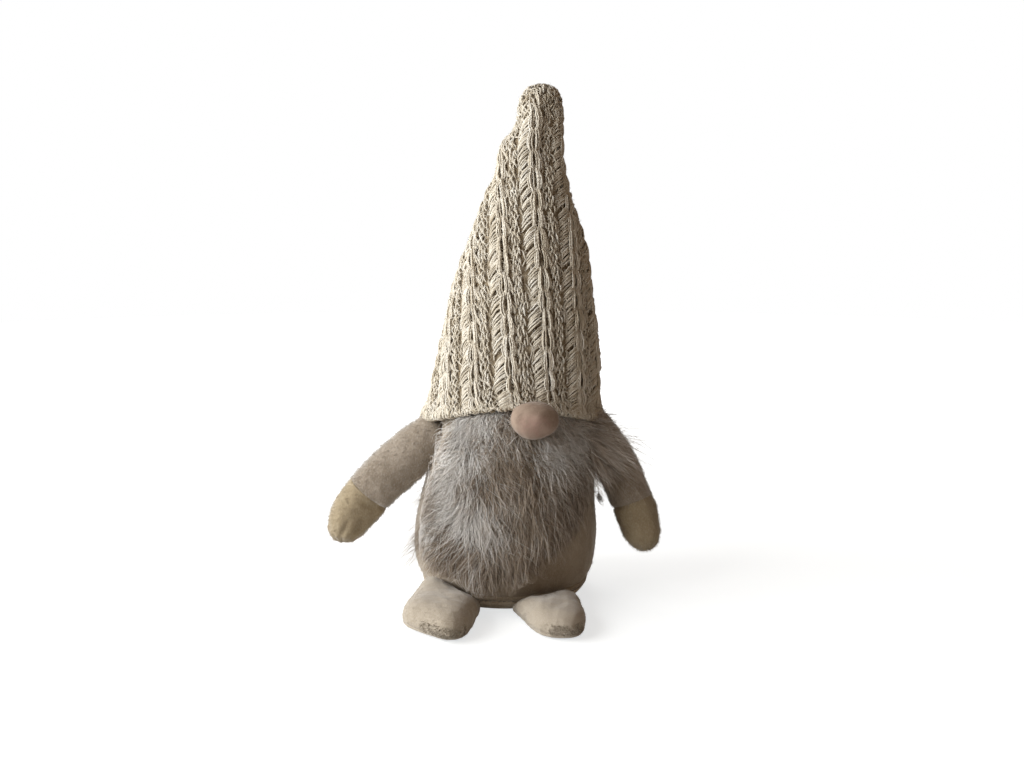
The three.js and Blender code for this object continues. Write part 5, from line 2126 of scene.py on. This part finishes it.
@dataclass(frozen=True)
class Studio:
    """The camera, the soft light from the upper left, and the pale floor."""

    eye: Place = (4.2, -620, 215)
    pitch: float = 8.3
    lens: float = 37.02
    # Name, place, watts and size in metres of each lamp
    lights: tuple[tuple[str, Place, float, float], ...] = (
        ("key", (-1260, -560, 560), 36.0, 1.4),
        ("side", (-1350, 375, 500), 12.0, 1.4),
        ("back", (-300, 1200, 620), 8.0, 0.9),
    )
    lamp_colour: Colour = (0.95, 0.98, 1.0)
    lamp_aim: Place = (0, 0, 140)
    sky: float = 0.155
    sky_colour: Colour = (1.0, 0.65, 0.38)
    floor_colour: Colour = (0.60, 0.60, 0.59)
    floor_glow: float = 0.68

    def camera(self) -> None:
        """The camera at the photograph's viewing angle."""
        data = bpy.data.cameras.new("camera")
        data.lens = self.lens
        data.sensor_width = 36
        data.clip_start = 0.01
        made = bpy.data.objects.new("camera", data)
        made.location = [value * MM for value in self.eye]
        made.rotation_euler = (math.radians(90 - self.pitch), 0, 0)
        bpy.context.scene.collection.objects.link(made)
        bpy.context.scene.camera = made

    def lamps(self) -> None:
        """Two soft lamps at the left, and a weaker one behind."""
        for name, place, watts, size in self.lights:
            data = bpy.data.lights.new(name, "AREA")
            data.energy = watts
            data.size = size
            data.color = self.lamp_colour
            made = bpy.data.objects.new(name, data)
            made.location = Vector(place) * MM
            aim = Vector(self.lamp_aim) * MM - made.location
            made.rotation_euler = aim.to_track_quat("-Z", "Y").to_euler()
            bpy.context.scene.collection.objects.link(made)

    def seen(self, board: Board) -> bpy.types.NodeSocket:
        """1 where the camera sees a thing itself, in a mirror or through glass."""
        path = board.add("LightPath")
        rays = board.maths("ADD", path.outputs["Is Camera Ray"], path.outputs["Is Glossy Ray"], True)
        return board.maths("ADD", rays, path.outputs["Is Transmission Ray"], True)

    def backdrop(self) -> None:
        """The pale world and the floor, which keeps the object's shadow."""
        world = bpy.data.worlds.new("studio")
        world.use_nodes = True
        world.node_tree.nodes.clear()
        board = Board(world.node_tree)
        strength = board.spread(self.seen(board), 0, 1, self.sky, 1)
        colour = board.blend(self.seen(board), self.sky_colour, (1.0, 1.0, 1.0))
        glow = board.add("Background", None, Color=colour, Strength=strength)
        board.add("OutputWorld", None, Surface=glow.outputs[0])
        bpy.context.scene.world = world
        bm = bmesh.new()
        bmesh.ops.create_circle(bm, cap_ends=True, segments=96, radius=2.2)
        floor = object_from("floor", bm)
        material = bpy.data.materials.new("pale_floor")
        material.use_nodes = True
        material.node_tree.nodes.clear()
        board = Board(material.node_tree)
        shader = board.add("BsdfPrincipled", None, Base_Color=self.floor_colour, Roughness=0.9)
        shader.inputs["Emission Color"].default_value = (0.96, 0.985, 1, 1)
        away = board.add("VectorMath", {"operation": "LENGTH"}, i0=board.place()).outputs["Value"]
        glow = board.spread(away, 0.3, 0.9, self.floor_glow, 1.0)
        strength = board.maths("MULTIPLY", self.seen(board), glow)
        board.tree.links.new(strength, shader.inputs["Emission Strength"])
        board.add("OutputMaterial", None, Surface=shader.outputs[0])
        floor.data.materials.append(material)


def main() -> None:
    """Builds the gnome and its studio."""
    logging.basicConfig(level=logging.INFO, format="%(name)s: %(message)s")
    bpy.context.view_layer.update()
    bpy.context.scene.view_settings.view_transform = "Standard"
    studio = Studio()
    studio.camera()
    wardrobe = Wardrobe()
    padding = Padding()
    body = Body(wardrobe)
    left_creases = (
        Crease((-98, -26, 35), (-91, -27, 47), 1.5, 1.9),
        Crease((-88, -26, 36), (-83, -27, 46), 2.2, 2.8),
        Crease((-93, -27, 34), (-87, -27, 41), 1.1, 1.2),
        Crease((-102, -22, 34), (-82, -24, 33), 1.1, 1.1),
        Crease((-84, -27, 58), (-70, -22, 51), 2.2, 2.2),
    )
    right_creases = (Crease((78, -26, 38), (84, -26, 34), 1.6, 0.8),)
    arms = (
        Arm(
            wardrobe, Side.LEFT, (-38, -12, 99), (-97, -9, 53), (-96.5, -14, 31), 2.6, left_creases, 81,
            width=32, root_width=30, wrist_width=32, mitten_width=25,
        ),
        Arm(
            wardrobe, Side.RIGHT, (51, -3, 101), (73, -8, 73), (85, -14, 26), 1.95, right_creases, 91,
            mitten_width=24,
        ),
    )
    feet = (
        Foot(wardrobe, Side.LEFT, (-29.83, -35.75), -8, LEFT_OUTLINE, LEFT_FOLD, 101),
        Foot(wardrobe, Side.RIGHT, (21.48, -40.50), 8, RIGHT_OUTLINE, RIGHT_FOLD, 111, thick=15.5),
    )
    body.form(padding)
    for limb in (*arms, *feet):
        limb.form(padding)
    padding.swell()
    body.finish()
    for limb in (*arms, *feet):
        limb.finish()
    Stuffing(wardrobe).build()
    Hat(wardrobe).build()
    nose = Nose(wardrobe)
    nose.build()
    Beard(wardrobe, nose).build()
    studio.lamps()
    studio.backdrop()


if __name__ == "__main__":
    main()
